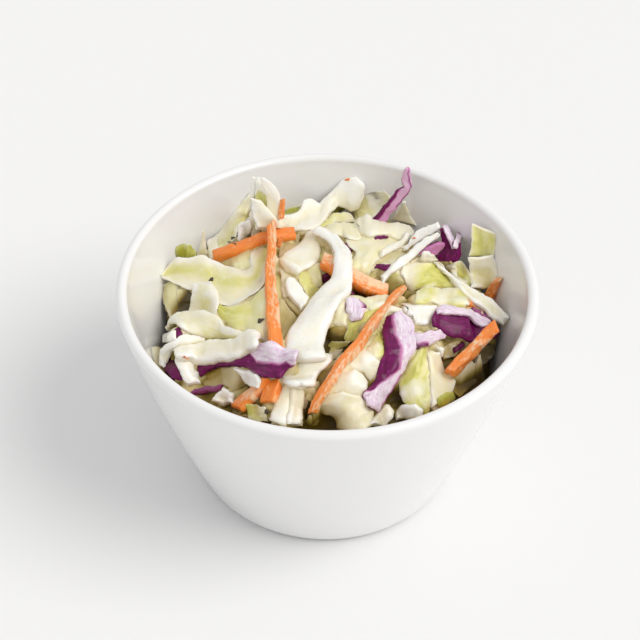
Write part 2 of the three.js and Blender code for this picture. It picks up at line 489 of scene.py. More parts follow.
def add_shred(kind, middle, toward, half_thick, along_mm, across, looks):
    """A closed shred: two sheets either side of a middle surface, joined along their whole edge. Each
    point is the middle surface plus or minus half the thickness along its normal. It is kept, with the
    values that colour it, until its kind is made."""
    global shred_count
    rows, cols = middle.shape[:2]
    down_row = np.gradient(middle, axis=0)
    down_col = np.gradient(middle, axis=1)
    normal = unit(np.cross(down_row, down_col))
    facing = np.sign((normal * toward).sum()) or 1.0
    normal = unit(np.stack([eased(normal[..., k] * facing, 2) for k in range(3)], -1))
    upper = inside_wall(middle + normal * half_thick[..., None])
    lower = inside_wall(middle - normal * half_thick[..., None])
    number = np.arange(rows * cols).reshape(rows, cols)
    under = number.copy()
    under[1:-1, 1:-1] = rows * cols + np.arange((rows - 2) * (cols - 2)).reshape(rows - 2, cols - 2)
    top_faces = quads_of(number)
    low_faces = quads_of(under)[:, [0, 3, 2, 1]]
    if facing < 0:
        top_faces, low_faces = top_faces[:, ::-1], low_faces[:, ::-1]
    points = np.concatenate([upper.reshape(-1, 3), lower[1:-1, 1:-1].reshape(-1, 3)])
    s = np.repeat(along_mm[:, None], cols, 1)
    u = np.repeat(across[None, :], rows, 0)
    values = {"along": s / 10, "across": u}
    for name in ("tone", "soak"):
        values[name] = np.full((rows, cols), looks[name])
    for name in ("green", "skin", "film"):
        values[name] = looks[name](s / max(along_mm[-1], 1e-6), u)
    columns = {"rim": np.concatenate([(under == number).ravel(), np.zeros((rows - 2) * (cols - 2), bool)])}
    for name, field in values.items():
        lower_field = field if name != "skin" else np.ones_like(field)
        columns[name] = np.concatenate([field.ravel(), lower_field[1:-1, 1:-1].ravel()])
    gathered[kind].append((points, np.concatenate([top_faces, low_faces]), columns))
    shred_count += 1
    raise_pile(upper)


def looks_of(pick, green=0.1, skin=1.0, film=None, soak=0.35):
    """The values that colour a shred. How green it is, which part is skin and how thick its dressing is are
    each a number or a function of the share along it and the place across it. Its tone and how much painted
    shade it takes low in the heap are numbers."""
    film = pick.uniform(0.1, 0.6) if film is None else film
    looks = {"tone": pick.uniform(-1, 1), "soak": soak}
    for name, part in (("green", green), ("skin", skin), ("film", film)):
        looks[name] = part if callable(part) else lambda s, u, level=part: np.full_like(s, level)
    return looks


def half_thickness(across, along_mm, thick, square, round_end):
    """Half of a shred's thickness: across it a rounded box, (1 - |u|^p)^(1/p), which closes in a quarter
    circle at each end."""
    side = (1 - np.abs(across) ** square) ** (1 / square)
    from_end = np.minimum(along_mm, along_mm[-1] - along_mm)
    end = np.sqrt(1 - (1 - np.clip(from_end / round_end, 0, 1)) ** 2)
    return thick / 2 * end[:, None] * side[None, :]


def roughened(middle, along_mm, across_mm, rough, fold, seed):
    """Moves a surface along its normals by smooth lumps and by sharp creases, in its own two directions."""
    s = np.repeat(along_mm[:, None], len(across_mm), 1)
    u = np.repeat(across_mm[None, :], len(along_mm), 0)
    normal = unit(np.cross(np.gradient(middle, axis=0), np.gradient(middle, axis=1)))
    waves = rough * (lumps(s, u, 5.0, seed) + 0.6 * lumps(0.3 * s, u, 1.6, seed + 1))
    waves += fold * creases(0.7 * s, u, 6.0, seed)
    return middle + normal * waves[..., None]


def settle(kind, spots, share, across, reached, half_mm, lift, thick, bend=0.0, form="arch", tip=0.0,
           stiff=20, square=4.0, rough=0.13, fold=0.45, sink=0.25, lean=None, pleats=(0, 0.0), **colours):
    """Brings a shred, given as a grid of places in the picture, to rest on the pile along every line of
    sight, and thickens it. One with a lean stands instead in a plane through the middle of its last row,
    leaning back by that many degrees. Lift, bend, tip and pleats are towards the eye, in millimetres."""
    seed = 1000 + shred_count
    lines = sight_lines(spots)
    hits = marched(lines, pile)
    if lean is not None:
        foot_line = sight_lines(spots[-1:].mean(axis=1))
        foot = eye + foot_line[0] * marched(foot_line, pile)[0]
        plane = np.array([0.0, -math.cos(math.radians(lean)), math.sin(math.radians(lean))])
        hits = np.minimum(hits, ((foot - eye) @ plane) / (lines @ plane))
    rest = at_rest(hits, share, across, stiff) - thick * 0.5 + sink - lift[:, None]
    rest = rest - (ridge(across, bend, form) + tip * across)[None, :]
    wander = 0.35 * lumps(reached, 0, 9.0, seed + 6)
    rest = rest - pleats[1] * np.cos(math.pi * pleats[0] * (across[None, :] + wander[:, None]))
    middle = eye + lines * rest[..., None]
    middle = roughened(middle, reached, across * half_mm, rough, fold, seed + 3)
    body = half_thickness(across, reached, thick, square, min(0.6, thick * 0.5))
    looks = looks_of(np.random.default_rng(seed), **colours)
    add_shred(kind, middle, eye - middle, body, reached, across, looks)


# A name that ends in _PX holds places across the picture, from its upper left corner. Each shred comes to
# rest along the lines of sight through its places.
PX_MM = VIEW_DISTANCE / FOCAL_LENGTH_PX  # size of a picture unit at the bowl


def ragged_edge(reached, ragged, seed, sizes, fine):
    """How far a cut edge wanders, in picture units: lumps of one size, and a share of finer ones."""
    wander = lumps(reached, 0, sizes[0], seed) + fine * lumps(reached, 0, sizes[1], seed + 3)
    return ragged / PX_MM * wander


def lay(kind, route, thick=1.4, ragged=0.3, rows=38, cols=13, full=0.7, **more):
    """Lays a strip where it is seen. The route's rows are its place across the picture and its width
    there, in picture units, and its lift in millimetres. Its sides wander and its ends are slanted."""
    seed = 1000 + shred_count
    route = [tuple(mark) + (0.0,) * (4 - len(mark)) for mark in route]
    curve, share = curve_through(route, rows)
    across = closer_at_ends(cols)
    heading = eased(unit(np.gradient(curve[:, :2], axis=0)), 1)
    sideways = np.column_stack([-heading[:, 1], heading[:, 0]])
    reached = length_along(curve[:, :2]) * PX_MM
    widest = curve[:, 2].max()
    half = widest * (np.maximum(curve[:, 2], 1.0) / widest) ** full / 2
    left, right = (half + ragged_edge(reached, ragged, seed + k, (4.0, 1.5), 0.4) for k in (1, 2))
    reach = np.where(across[None, :] < 0, left[:, None], right[:, None]) * across[None, :]
    slants = np.random.default_rng(seed).uniform(-0.5, 0.5, 2)
    slant = slants[0] + (slants[1] - slants[0]) * share
    aside = sideways[:, None, :] + heading[:, None, :] * slant[:, None, None]
    spots = curve[:, None, :2] + aside * reach[..., None]
    settle(kind, spots, share, across, reached, half.mean() * PX_MM, curve[:, 3], thick, **more)


def edge_through(places, share):
    """Points along a bent line at the given shares of its length."""
    places = np.asarray(places, float)
    reached = length_along(places)
    return np.stack([np.interp(share * reached[-1], reached, places[:, k]) for k in range(2)], -1)


def spread(kind, edge, other_edge, thick=1.0, lift=(0, 0), ragged=0.16, rows=40, cols=17, **more):
    """Spreads a piece of leaf where it is seen, between two of its edges, given as bent lines across the
    picture. Every point lies between the two points with its share of the way along them."""
    seed = 1000 + shred_count
    share = 0.5 + 0.5 * closer_at_ends(rows)
    across = closer_at_ends(cols)
    a, b = edge_through(edge, share), edge_through(other_edge, share)
    apart = b - a
    wide = np.maximum(np.linalg.norm(apart, axis=1), 1e-6)
    reached = length_along((a + b) / 2) * PX_MM
    a = a + apart / wide[:, None] * ragged_edge(reached, ragged, seed + 1, (3.0, 1.3), 0.7)[:, None]
    b = b + apart / wide[:, None] * ragged_edge(reached, ragged, seed + 2, (3.0, 1.3), 0.7)[:, None]
    mix = (across[None, :, None] + 1) / 2
    spots = a[:, None, :] * (1 - mix) + b[:, None, :] * mix
    lift = eased(np.interp(share, np.linspace(0, 1, len(lift)), lift)[:, None], 8)[:, 0]
    settle(kind, spots, share, across, reached, wide.mean() / 2 * PX_MM, lift, thick, **more)


def behind_lip(x, y, z):
    """Which places in the bowl are hidden by it: those whose line to the eye crosses the lip's height
    beyond the middle of the lip."""
    share = (BOWL_HEIGHT - z) / (eye[2] - z)
    return np.hypot(x + share * (eye[0] - x), y + share * (eye[1] - y)) > RIM_RADIUS - LIP_RADIUS


DROP_FROM = 120.0
DROP_REACH = float(inner_radius(BOWL_HEIGHT - 8)) - 0.5
END_DROOP = 1.2


def drop(kind, x, y, heading, length, width, thick, pick, curl=0.0, bend=0.0, tip=0.0, stiff=14, square=3.0,
         sink=0.0, rows=18, cols=7, unseen=False, **colours):
    """Drops a loose shred straight down onto the pile. Its path in plan is an arc about its middle. One
    that would stand too high is left out. An unseen one may stand high, but is left out if it shows."""
    seed = 1000 + shred_count
    share = 0.5 + 0.5 * closer_at_ends(rows)
    across = closer_at_ends(cols)
    angle = heading + curl * (share - 0.5)
    step = np.diff(share, prepend=0)[:, None] * length
    path = np.cumsum(np.column_stack([np.cos(angle), np.sin(angle)]) * step, axis=0)
    path += np.array([x, y]) - path.mean(axis=0)
    side = np.column_stack([-np.sin(angle), np.cos(angle)])
    along_mm = share * length
    narrower = 0.55 + 0.45 * np.sqrt(np.clip(4 * share * (1 - share), 0, 1))
    half = width / 2 * (1 + 0.22 * lumps(along_mm, 0, 9.0, seed + 1)) * narrower
    plan = path[:, None, :] + side[:, None, :] * (across[None, :] * half[:, None])[..., None]
    far = np.hypot(plan[..., 0], plan[..., 1])
    plan = plan * np.minimum(1, DROP_REACH / np.maximum(far, 1e-6))[..., None]
    hits = DROP_FROM - height_on(pile, plan[..., 0], plan[..., 1])
    rest = at_rest(hits, share, across, stiff) - thick / 2 + sink
    droop = END_DROOP * np.abs(2 * share[:, None] - 1) ** 3
    rest = rest - (ridge(across, bend, "arch") + tip * across)[None, :] + droop
    middle = np.concatenate([plan, (DROP_FROM - rest)[..., None]], -1)
    middle = roughened(middle, along_mm, across * width / 2, 0.15, 0.3, seed + 3)
    x, y, z = middle[..., 0], middle[..., 1], middle[..., 2]
    if unseen and not np.all(behind_lip(x, y, z + thick / 2)):
        return
    if not unseen and np.any(z > heap_height(x, y) - hollow_at(x, y) - CLEAR_OF_TOP):
        return
    body = half_thickness(across, along_mm, thick, square, min(0.7, thick * 0.6))
    # Loose shreds lie in the gaps, so they take more painted shade than the top ones.
    looks = looks_of(pick, **{"soak": 1.15, **colours})
    add_shred(kind, middle, np.array([0.0, 0.0, 1.0]), body, along_mm, across, looks)


# ---- The dressing on everything ----
# A thin film of creamy dressing clings to every shred in patches. It whitens what it covers, and it is
# glossier and stands a little higher where it pools.
def combined(tree, operation, a, b):
    """One operation on two sockets or numbers."""
    node = tree.nodes.new("ShaderNodeMath")
    node.operation = operation
    for socket, value in zip(node.inputs, (a, b)):
        if isinstance(value, (int, float)):
            socket.default_value = value
        else:
            tree.links.new(value, socket)
    return node.outputs[0]


def plus(tree, a, b):
    """The sum of two sockets or numbers."""
    return combined(tree, "ADD", a, b)


def times(tree, a, b):
    """The product of two sockets or numbers."""
    return combined(tree, "MULTIPLY", a, b)


def mixed(tree, share, a, b, way="MIX"):
    """A colour a share of the way from one to another. The second is a socket or a plain colour."""
    node = tree.nodes.new("ShaderNodeMix")
    node.data_type = "RGBA"
    node.blend_type = way
    if isinstance(share, float):
        node.inputs["Factor"].default_value = share
    else:
        tree.links.new(share, node.inputs["Factor"])
    tree.links.new(a, node.inputs["A"])
    if isinstance(b, tuple):
        node.inputs["B"].default_value = (*b, 1)
    else:
        tree.links.new(b, node.inputs["B"])
    return node.outputs["Result"]


FILM_SOCKETS = {"Colour": "Color", "Film": "Float", "Cream": "Color"}
FILM_RESULTS = {"Colour": "Color", "Roughness": "Float", "Height": "Float"}
film_group = bpy.data.node_groups.new("creamy_film", "ShaderNodeTree")
for way, sockets in (("INPUT", FILM_SOCKETS), ("OUTPUT", FILM_RESULTS)):
    for socket, sort in sockets.items():
        film_group.interface.new_socket(name=socket, in_out=way, socket_type="NodeSocket" + sort)
given = film_group.nodes.new("NodeGroupInput").outputs
result = film_group.nodes.new("NodeGroupOutput").inputs
pools = noise(film_group, 230.0, 3.0)
amount = stretched(film_group, plus(film_group, pools, given["Film"]), 0.75, 1.4)
film_group.links.new(mixed(film_group, amount, given["Colour"], given["Cream"]), result["Colour"])
film_group.links.new(stretched(film_group, amount, 0.0, 1.0, 0.42, 0.24), result["Roughness"])
film_group.links.new(amount, result["Height"])


def keep_value(piece, name, field):
    """Keeps a number for each of a piece's points, which its material reads by name."""
    piece.data.attributes.new(name, "FLOAT", "POINT").data.foreach_set("value", field.astype(np.float32))


def own_value(tree, name):
    """The socket that gives a piece's own value of this name at each point."""
    reader = tree.nodes.new("ShaderNodeAttribute")
    reader.attribute_name = name
    return reader.outputs["Fac"]


def own_pattern(tree, along, across, scale, detail=3.0):
    """Noise that follows a shred: it is read at the place along it, the place across it and its tone."""
    place = tree.nodes.new("ShaderNodeCombineXYZ")
    for socket, name, factor in (("X", "along", along), ("Y", "across", across), ("Z", "tone", 3.0)):
        tree.links.new(times(tree, own_value(tree, name), factor), place.inputs[socket])
    return noise(tree, scale, detail, place.outputs["Vector"])


def ramp(tree, value, stops):
    """A colour ramp with a colour at each position, driven by a value."""
    node = tree.nodes.new("ShaderNodeValToRGB")
    while len(node.color_ramp.elements) < len(stops):
        node.color_ramp.elements.new(0.5)
    for element, (position, colour) in zip(node.color_ramp.elements, stops.items()):
        element.position = position
        element.color = (*colour, 1)
    tree.links.new(value, node.inputs["Fac"])
    return node.outputs["Color"]


# Painted shade: shreds low in the heap are darkened towards this colour, and towards a third of it at the
# deepest.
PAINTED_SHADE_COLOUR = (0.42, 0.30, 0.055)
DARKEST = 0.3


def dressed(tree, shader, colour, cream, strength, texture, texture_height, deep=PAINTED_SHADE_COLOUR,
            more_film=0.0):
    """Darkens a colour towards a deeper one far down in the heap, as painted shade, and thins the film
    there;
    puts the film over it, and joins colour, roughness and relief to the shader."""
    depth = stretched(tree, own_value(tree, "deep"), 0.05, 1.2)
    darkest = tuple(DARKEST * part for part in deep)
    shade_tint = ramp(tree, depth, {0.0: (1, 1, 1), 0.6: deep, 1.0: darkest})
    film = tree.nodes.new("ShaderNodeGroup")
    film.node_tree = film_group
    film.inputs["Cream"].default_value = (*cream, 1)
    tree.links.new(mixed(tree, 1.0, colour, shade_tint, "MULTIPLY"), film.inputs["Colour"])
    thickness = times(tree, own_value(tree, "film"), combined(tree, "SUBTRACT", 1.0, depth))
    tree.links.new(plus(tree, times(tree, thickness, strength), more_film), film.inputs["Film"])
    tree.links.new(film.outputs["Colour"], shader.inputs["Base Color"])
    tree.links.new(film.outputs["Roughness"], shader.inputs["Roughness"])
    height = plus(tree, film.outputs["Height"], times(tree, texture, texture_height))
    tree.links.new(relief(tree, height, 0.55, 0.0003), shader.inputs["Normal"])


def moist_material(name, scatter, radius, **settings):
    """A material for moist food: some light enters and spreads, and a thin wet coat lies on top."""
    coat = {"Coat_Weight": 0.3, "Coat_Roughness": 0.18}
    inner_light = {"Subsurface_Weight": scatter, "Subsurface_Radius": radius, "Subsurface_Scale": 0.0008}
    return new_material(name, **{**inner_light, **coat, **settings})


# ---- Cabbage ----
# Shreds of white cabbage: thick white ribs and thin leaf, cream inside the head and green at its
# outside. Fine veins run along the leaf, and its cut edges are paler.
LEAF_COLOURS = {  # from the heart of the head to its outer leaves, and at the end the black of pepper
    0.0: (0.86, 0.81, 0.62),
    0.18: (0.83, 0.78, 0.44),
    0.39: (0.72, 0.69, 0.20),
    0.6: (0.44, 0.44, 0.05),
    0.9: (0.30, 0.30, 0.04),
    1.0: (0.05, 0.03, 0.01),
}
materials = {}
materials["cabbage"], tree, shader = moist_material("cabbage", 0.45, (0.7, 0.8, 1.0))
veins = own_pattern(tree, 2.0, 1.6, 2.2)
cut_edge = combined(tree, "POWER", combined(tree, "ABSOLUTE", own_value(tree, "across"), 0.0), 9.0)
greenness = plus(tree, own_value(tree, "green"), times(tree, plus(tree, veins, -0.5), 0.55))
greenness = times(tree, plus(tree, greenness, times(tree, cut_edge, -0.35)), 0.6)
# Painted highlight and shade: the film is whiter where a place stands above its neighbours and less so
# where it lies below them. It is whiter at the cut edges too.
highlight_and_edge_film = times(tree, plus(tree, own_value(tree, "raised"), times(tree, cut_edge, 0.6)), 0.3)
leaf_colour = ramp(tree, greenness, LEAF_COLOURS)
dressed(tree, shader, leaf_colour, (0.95, 0.93, 0.86), 1.0, veins, 0.8, more_film=highlight_and_edge_film)

# ---- Carrot ----
# Sticks cut on a coarse grater: orange, with fine fibres along them. The film on them is patchy, and it
# takes some of their colour.
CARROT_COLOURS = {0.3: (0.88, 0.19, 0.012), 0.55: (0.97, 0.28, 0.035), 0.75: (1.0, 0.42, 0.12)}
CARROT_CREAM = (0.98, 0.64, 0.38)
CARROT_IN_SHADE = (0.6, 0.42, 0.25)
materials["carrot"], tree, shader = moist_material("carrot", 0.25, (1.0, 0.45, 0.15))
fibres = own_pattern(tree, 1.0, 5.0, 2.6, 5.0)
patches = times(tree, plus(tree, own_pattern(tree, 4.0, 1.2, 2.0), -0.5), 2.2)
carrot_colour = ramp(tree, fibres, CARROT_COLOURS)
dressed(tree, shader, carrot_colour, CARROT_CREAM, 0.9, fibres, 1.2, CARROT_IN_SHADE, patches)

# ---- Red cabbage ----
# Strips of red cabbage leaf: dark purple skin on the leaf's own faces, and pale lilac flesh where the knife
# cut it. Where little skin is left over the flesh, it shows magenta.
SKIN_COLOURS = {0.3: (0.09, 0.001, 0.045), 0.6: (0.19, 0.003, 0.105), 0.8: (0.33, 0.04, 0.24)}
THIN_SKIN_COLOUR = (0.66, 0.27, 0.50)
FLESH_COLOURS = {0.3: (0.66, 0.45, 0.62), 0.48: (0.80, 0.66, 0.78), 0.65: (0.90, 0.84, 0.88)}
THIN_SKIN_AT = 0.35
SKIN_FADE = 0.14
LESS_SHINE = {"Coat_Weight": 0.12, "Specular_IOR_Level": 0.25}
red_material, tree, shader = moist_material("red_cabbage", 0.15, (0.9, 0.4, 0.8), **LESS_SHINE)
materials["red_cabbage"] = red_material
mottle = own_pattern(tree, 2.5, 2.4, 2.4)
uneven_skin = plus(tree, own_value(tree, "skin"), times(tree, plus(tree, mottle, -0.5), 0.15))
skin_left = stretched(tree, uneven_skin, -SKIN_FADE, SKIN_FADE)
to_thin = stretched(tree, skin_left, 0.0, THIN_SKIN_AT)
to_full = stretched(tree, skin_left, THIN_SKIN_AT, 1.0)
red_colour = mixed(tree, to_thin, ramp(tree, mottle, FLESH_COLOURS), THIN_SKIN_COLOUR)
red_colour = mixed(tree, to_full, red_colour, ramp(tree, mottle, SKIN_COLOURS))
# Painted shade low in the heap turns it darker and duller red.
dressed(tree, shader, red_colour, (0.85, 0.77, 0.84), 0.6, mottle, 0.35, (0.55, 0.3, 0.3))

# ---- Loose shreds under and round the top ones ----
# Leaf and rib of white cabbage, fallen at random until the heap is nearly full. Fewer lie in the hollows
# left between the top ones.
HOLLOWS = {  # place across the picture, then radius and depth in millimetres
    "lower_left": ((190, 372), 9, 7),
    "lower_left_edge": ((168, 360), 6, 6),
    "lower_right": ((478, 368), 10, 8),
    "right_edge": ((495, 345), 7, 6),
    "middle": ((337, 333), 5, 5),
    "left_of_ribbon": ((293, 308), 4, 5),
    "front": ((325, 418), 6, 5),
    "front_slit": ((304, 410), 4, 4),
    "front_right": ((392, 398), 6, 6),
    "arch": ((390, 276), 5, 5),
    "ribbon_loop": ((325, 272), 5, 5),
    "left_gap": ((221, 314), 4, 5),
    "left_wall": ((178, 300), 6, 6),
    "purple_gap": ((383, 269), 3, 3),
    "front_left": ((240, 383), 6, 4),
}


def hollow_at(x, y):
    """How much lower the loose shreds stay at a place: each hollow is a bowl that fades at its radius."""
    depth = np.zeros_like(np.asarray(x, float))
    for middle, radius, deep_mm in hollow_places:
        away = np.hypot(x - middle[0], y - middle[1]) / radius
        depth = np.maximum(depth, deep_mm * np.clip(1.3 - away**2, 0, 1))
    return depth


full_heap = np.maximum(wall_height, heap_height(grid_x, grid_y))
hollow_places = []
for spot, radius, deep_mm in HOLLOWS.values():
    line = sight_lines(np.array([spot], float))
    hollow_places.append((eye + line[0] * marched(line, full_heap)[0], radius, deep_mm))

LOOSE_TRIES = 1500
LOOSE_REACH = 46.0
LEAF_SHARE = 0.6
NEAR_WALL = 36.0
CLEAR_OF_TOP = 2.3
FULL_SHORT_OF_TOP = 1.0
scatter = np.random.default_rng(8)
for _ in range(LOOSE_TRIES):
    out = LOOSE_REACH * math.sqrt(scatter.uniform(0, 1))
    turn = scatter.uniform(0, 2 * math.pi)
    x, y = out * math.cos(turn), out * math.sin(turn)
    heading = scatter.uniform(0, math.pi)
    is_leaf = scatter.uniform(0, 1) < LEAF_SHARE
    length = scatter.uniform(10, 25)
    if out > NEAR_WALL:
        heading = turn + math.pi / 2 + scatter.uniform(-0.5, 0.5)
        length = scatter.uniform(8, 16)
    probe = np.linspace(-0.35, 0.35, 5) * length
    along_x, along_y = x + probe * math.cos(heading), y + probe * math.sin(heading)
    full_at = heap_height(along_x, along_y) - hollow_at(along_x, along_y) - CLEAR_OF_TOP
    if np.any(height_on(pile, along_x, along_y) > full_at - FULL_SHORT_OF_TOP):
        continue
    sink = scatter.uniform(0, 0.8)
    if is_leaf:
        width, thick = scatter.uniform(4.5, 10), scatter.uniform(0.9, 1.4)
        drop("cabbage_leaf", x, y, heading, length, width, thick, scatter, curl=scatter.uniform(-1.0, 1.0),
             bend=scatter.uniform(-0.3, 1.4), tip=scatter.uniform(-1.2, 1.2), sink=sink,
             green=scatter.uniform(0.0, 0.6))
    else:
        width, thick = scatter.uniform(2.6, 4.8), scatter.uniform(1.6, 2.4)
        drop("cabbage_rib", x, y, heading, length, width, thick, scatter, curl=scatter.uniform(-0.9, 0.9),
             square=2.8, sink=sink, green=scatter.uniform(0, 0.3))


def bell(away, width):
    """A smooth bump that is 1 where a distance is nought and fades over a width: exp(-(away / width)^2)."""
    return np.exp(-(away / width) ** 2)


def rib(route, thick=2.3, green=0.0, **more):
    """Lays a strip of thick cabbage rib, nearly round across."""
    lay("cabbage_rib", route, thick, square=2.8, green=green, fold=0.15, **more)


def rib_sheet(edge, other_edge, thick=2.4, green=0.0, **more):
    """Spreads a broad piece of thick cabbage rib."""
    more = {"sink": 0.6, "fold": 0.35, **more}
    spread("cabbage_rib", edge, other_edge, thick, square=3.5, green=green, **more)


def leaf(route, thick=0.8, green=0.15, **more):
    """Lays a strip of thin cabbage leaf."""
    lay("cabbage_leaf", route, thick, green=green, **more)


def leaf_sheet(edge, other_edge, thick=0.6, green=0.15, **more):
    """Spreads a broad piece of thin cabbage leaf."""
    spread("cabbage_leaf", edge, other_edge, thick, square=2.5, green=green, **more)


def carrot(route, thick=2.6, **more):
    """Lays a straight stick of carrot, square across."""
    lay("carrot", route, thick, stiff=-2, square=5.0, fold=0.12, ragged=0.2, full=0.5, **more)


def red(route, thick=1.6, film=0.15, **more):
    """Lays a strip of red cabbage."""
    lay("red_cabbage", route, thick, film=film, **more)


def red_sheet(edge, other_edge, thick=1.7, film=0.15, **more):
    """Spreads a broad piece of red cabbage."""
    spread("red_cabbage", edge, other_edge, thick, film=film, **more)


# ---- Shreds deep in the gaps ----
# The ones that are partly seen under the top ones, in shade: tan leaf, and ends of red cabbage and carrot.
# They are darkened by painted shade, more than the top ones.
GAP_LEAVES_PX = {  # two edges each, then its looks
    "wall_gap_leaf": (
        [(163, 284), (163, 300), (170, 318)],
        [(178, 282), (180, 300), (180, 318)],
        {"green": 0.3, "film": 0.0, "soak": 1.6},
    ),
    "wall_gap_tan_leaf": (
        [(176, 290), (178, 303), (181, 314)],
        [(193, 288), (193, 300), (191, 313)],
        {"green": 0.35, "film": 0.0, "soak": 3.0},
    ),
    "lower_left_tan_leaf": (
        [(200, 376), (222, 364), (240, 366)],
        [(204, 386), (222, 388), (240, 380)],
        {"green": 0.2, "soak": 0.9},
    ),
    "lower_left_cream_leaf": (
        [(220, 368), (236, 366), (250, 372)],
        [(222, 384), (236, 392), (252, 394)],
        {"green": 0.1, "soak": 0.9},
    ),
    "front_left_backing": (
        [(230, 394), (250, 384), (266, 372)],
        [(238, 416), (258, 418), (276, 410)],
        {"green": 0.3, "soak": 0.9},
    ),
    "front_backing": (
        [(266, 378), (290, 372), (312, 376)],
        [(262, 418), (290, 424), (318, 420)],
        {"green": 0.45, "soak": 0.9},
    ),
    "loop_backing": (
        [(279, 238), (279, 262), (283, 298)],
        [(300, 234), (300, 266), (306, 296)],
        {"green": 0.1, "soak": 0.9},
    ),
    "left_of_ribbon_leaf": (
        [(278, 296), (284, 302), (298, 319), (292, 334)],
        [(277, 312), (279, 330), (281, 344), (285, 352)],
        {"green": 0.3, "soak": 0.9},
    ),
    "under_carrot_leaf": (
        [(216, 252), (232, 250), (250, 240)],
        [(222, 270), (240, 274), (256, 266)],
        {"green": 0.3, "soak": 0.9},
    ),
    "arch_leaf": (
        [(383, 268), (396, 270), (406, 276)],
        [(380, 288), (392, 294), (404, 290)],
        {"green": 0.5, "soak": 0.9},
    ),
    "lower_right_tan_leaf": (
        [(455, 381), (460, 372), (471, 368)],
        [(452, 391), (459, 397), (476, 383)],
        {"green": 0.35, "film": 0.0, "soak": 1.3},
    ),
    "lower_right_dark_leaf": (
        [(470, 356), (480, 348), (492, 344)],
        [(474, 370), (486, 364), (494, 352)],
        {"green": 0.35, "film": 0.0, "soak": 2.0},
    ),
    "under_wedge_leaf": (
        [(440, 350), (452, 342), (464, 338)],
        [(444, 360), (456, 356), (466, 346)],
        {"green": 0.15, "soak": 0.9},
    ),
    "middle_gap_leaf": (
        [(327, 329), (329, 338), (331, 345)],
        [(345, 325), (346, 334), (344, 341)],
        {"green": 0.4, "film": 0.0, "soak": 2.5},
    ),
}
for edge, other_edge, looks in GAP_LEAVES_PX.values():
    leaf_sheet(edge, other_edge, **looks)

GAP_STRIPS_PX = {  # what lays it, its route, then its looks
    "front_gap_green": (leaf, [(304, 424, 10), (318, 422, 10)], {"green": 0.7}),
    "front_slit_green": (leaf, [(300, 386, 12), (308, 392, 18), (306, 402, 14)], {"green": 0.5}),
    "red_in_loop": (red, [(322, 276, 12), (334, 282, 14), (346, 290, 12)], {"film": 0.0}),
    "red_in_arch": (red, [(376, 266, 7), (390, 269, 7)], {"film": 0.0}),
    "red_behind_ribbon": (red, [(345, 243, 7), (351, 247, 12), (357, 253, 6)], {"film": 0.0}),
    "red_under_carrot": (red, [(349, 292, 8), (362, 292, 6)], {"skin": 0.1}),
    "carrot_under_fold": (carrot, [(452, 307, 5), (466, 305, 8), (480, 305, 10)], {}),
    "red_lower_left": (red, [(164, 352, 10), (170, 362, 16), (182, 376, 16)], {"film": 0.0, "soak": 2.0}),
    "red_lower_left_flesh": (red, [(192, 391, 7), (208, 390, 9), (222, 388, 8)], {"skin": 0.1}),
    "red_under_wedge": (red, [(454, 351, 8), (464, 343, 9)], {"film": 0.0}),
    "red_beside_carrot": (red, [(486, 334, 10), (498, 336, 8)], {"film": 0.0}),
    "carrot_behind_crossing": (carrot, [(250, 225, 8), (253, 231, 9), (256, 238, 9)], {}),
    "green_by_tip": (leaf, [(284, 213, 9), (294, 211, 12), (304, 205, 8)], {"green": 1.0}),
    "green_by_knot": (leaf, [(332, 211, 9), (340, 208, 11), (348, 204, 6)], {"green": 1.0}),
}
for lay_it, route, looks in GAP_STRIPS_PX.values():
    lay_it(route, **{"soak": 0.9, **looks})

LEAF_BEHIND_RED_PX = ([(350, 205), (364, 194), (384, 190)], [(356, 220), (372, 220), (394, 200)])
leaf_sheet(*LEAF_BEHIND_RED_PX, green=0.35, soak=0.9)

# ---- Shreds against the back wall ----
# Tips of leaf that stand up against the wall, a ridge of pale ribs before them, a knot of rib at its right
# end, and a strip of red cabbage that stands higher than the lip.
WALL_LEAF_PX = (
    [(252, 192), (244, 198), (239, 205), (230, 217), (221, 228), (214, 237), (206, 242)],
    [(254, 196), (251, 205), (248, 216), (240, 228), (235, 240), (222, 250), (212, 256)],
)
leaf_sheet(*WALL_LEAF_PX, green=lambda s, u: 0.25 + 0.35 * u * (s > 0.3), thick=1.0, bend=0.6)
TIP_BACKING_PX = ([(252, 197), (251, 212), (252, 238)], [(266, 197), (281, 212), (284, 238)])
leaf_sheet(*TIP_BACKING_PX, green=0.15, lean=30, film=0.4)
TIP_SLIT_PX = [(252, 200, 3), (250, 208, 4), (248, 217, 3)]
leaf(TIP_SLIT_PX, green=1.1, thick=0.8)
KNOT_PX = (
    [(256, 219), (275, 216), (288, 215), (299, 212), (303, 201), (310, 199), (318, 204), (326, 198),
     (334, 189), (340, 181), (346, 177), (356, 176), (362, 182), (364, 188)],
    [(257, 230), (275, 231), (286, 230), (295, 231), (304, 231), (312, 230), (319, 227), (325, 220),
     (330, 215), (337, 207), (345, 208), (351, 212), (358, 209), (364, 197)],
)
rib_sheet(*KNOT_PX, thick=1.8, bend=0.5, film=0.5, rows=60, lean=34)
TIP_SPIKE_PX = ([(253, 176), (251, 184), (250, 197)], [(256, 177), (256, 186), (257, 199)])
leaf_sheet(*TIP_SPIKE_PX, green=0.15, lean=22, film=0.6)
TIP_LEFT_PX = (
    [(256, 177), (256, 186), (255, 196), (258, 210)],
    [(260, 177), (264, 188), (267, 197), (270, 210)],
)
leaf_sheet(*TIP_LEFT_PX, green=0.6, lean=24)
TIP_RIGHT_PX = (
    [(260, 176), (262, 186), (266, 196), (267, 207), (266, 222)],
    [(264, 177), (272, 183), (279, 193), (281, 203), (279, 222)],
)
leaf_sheet(*TIP_RIGHT_PX, thick=0.8, green=0.05, lean=22, film=0.5)
TIP_FRONT_PX = (
    [(252, 198), (251, 208), (253, 218), (258, 228)],
    [(260, 200), (268, 208), (275, 216), (282, 228)],
)
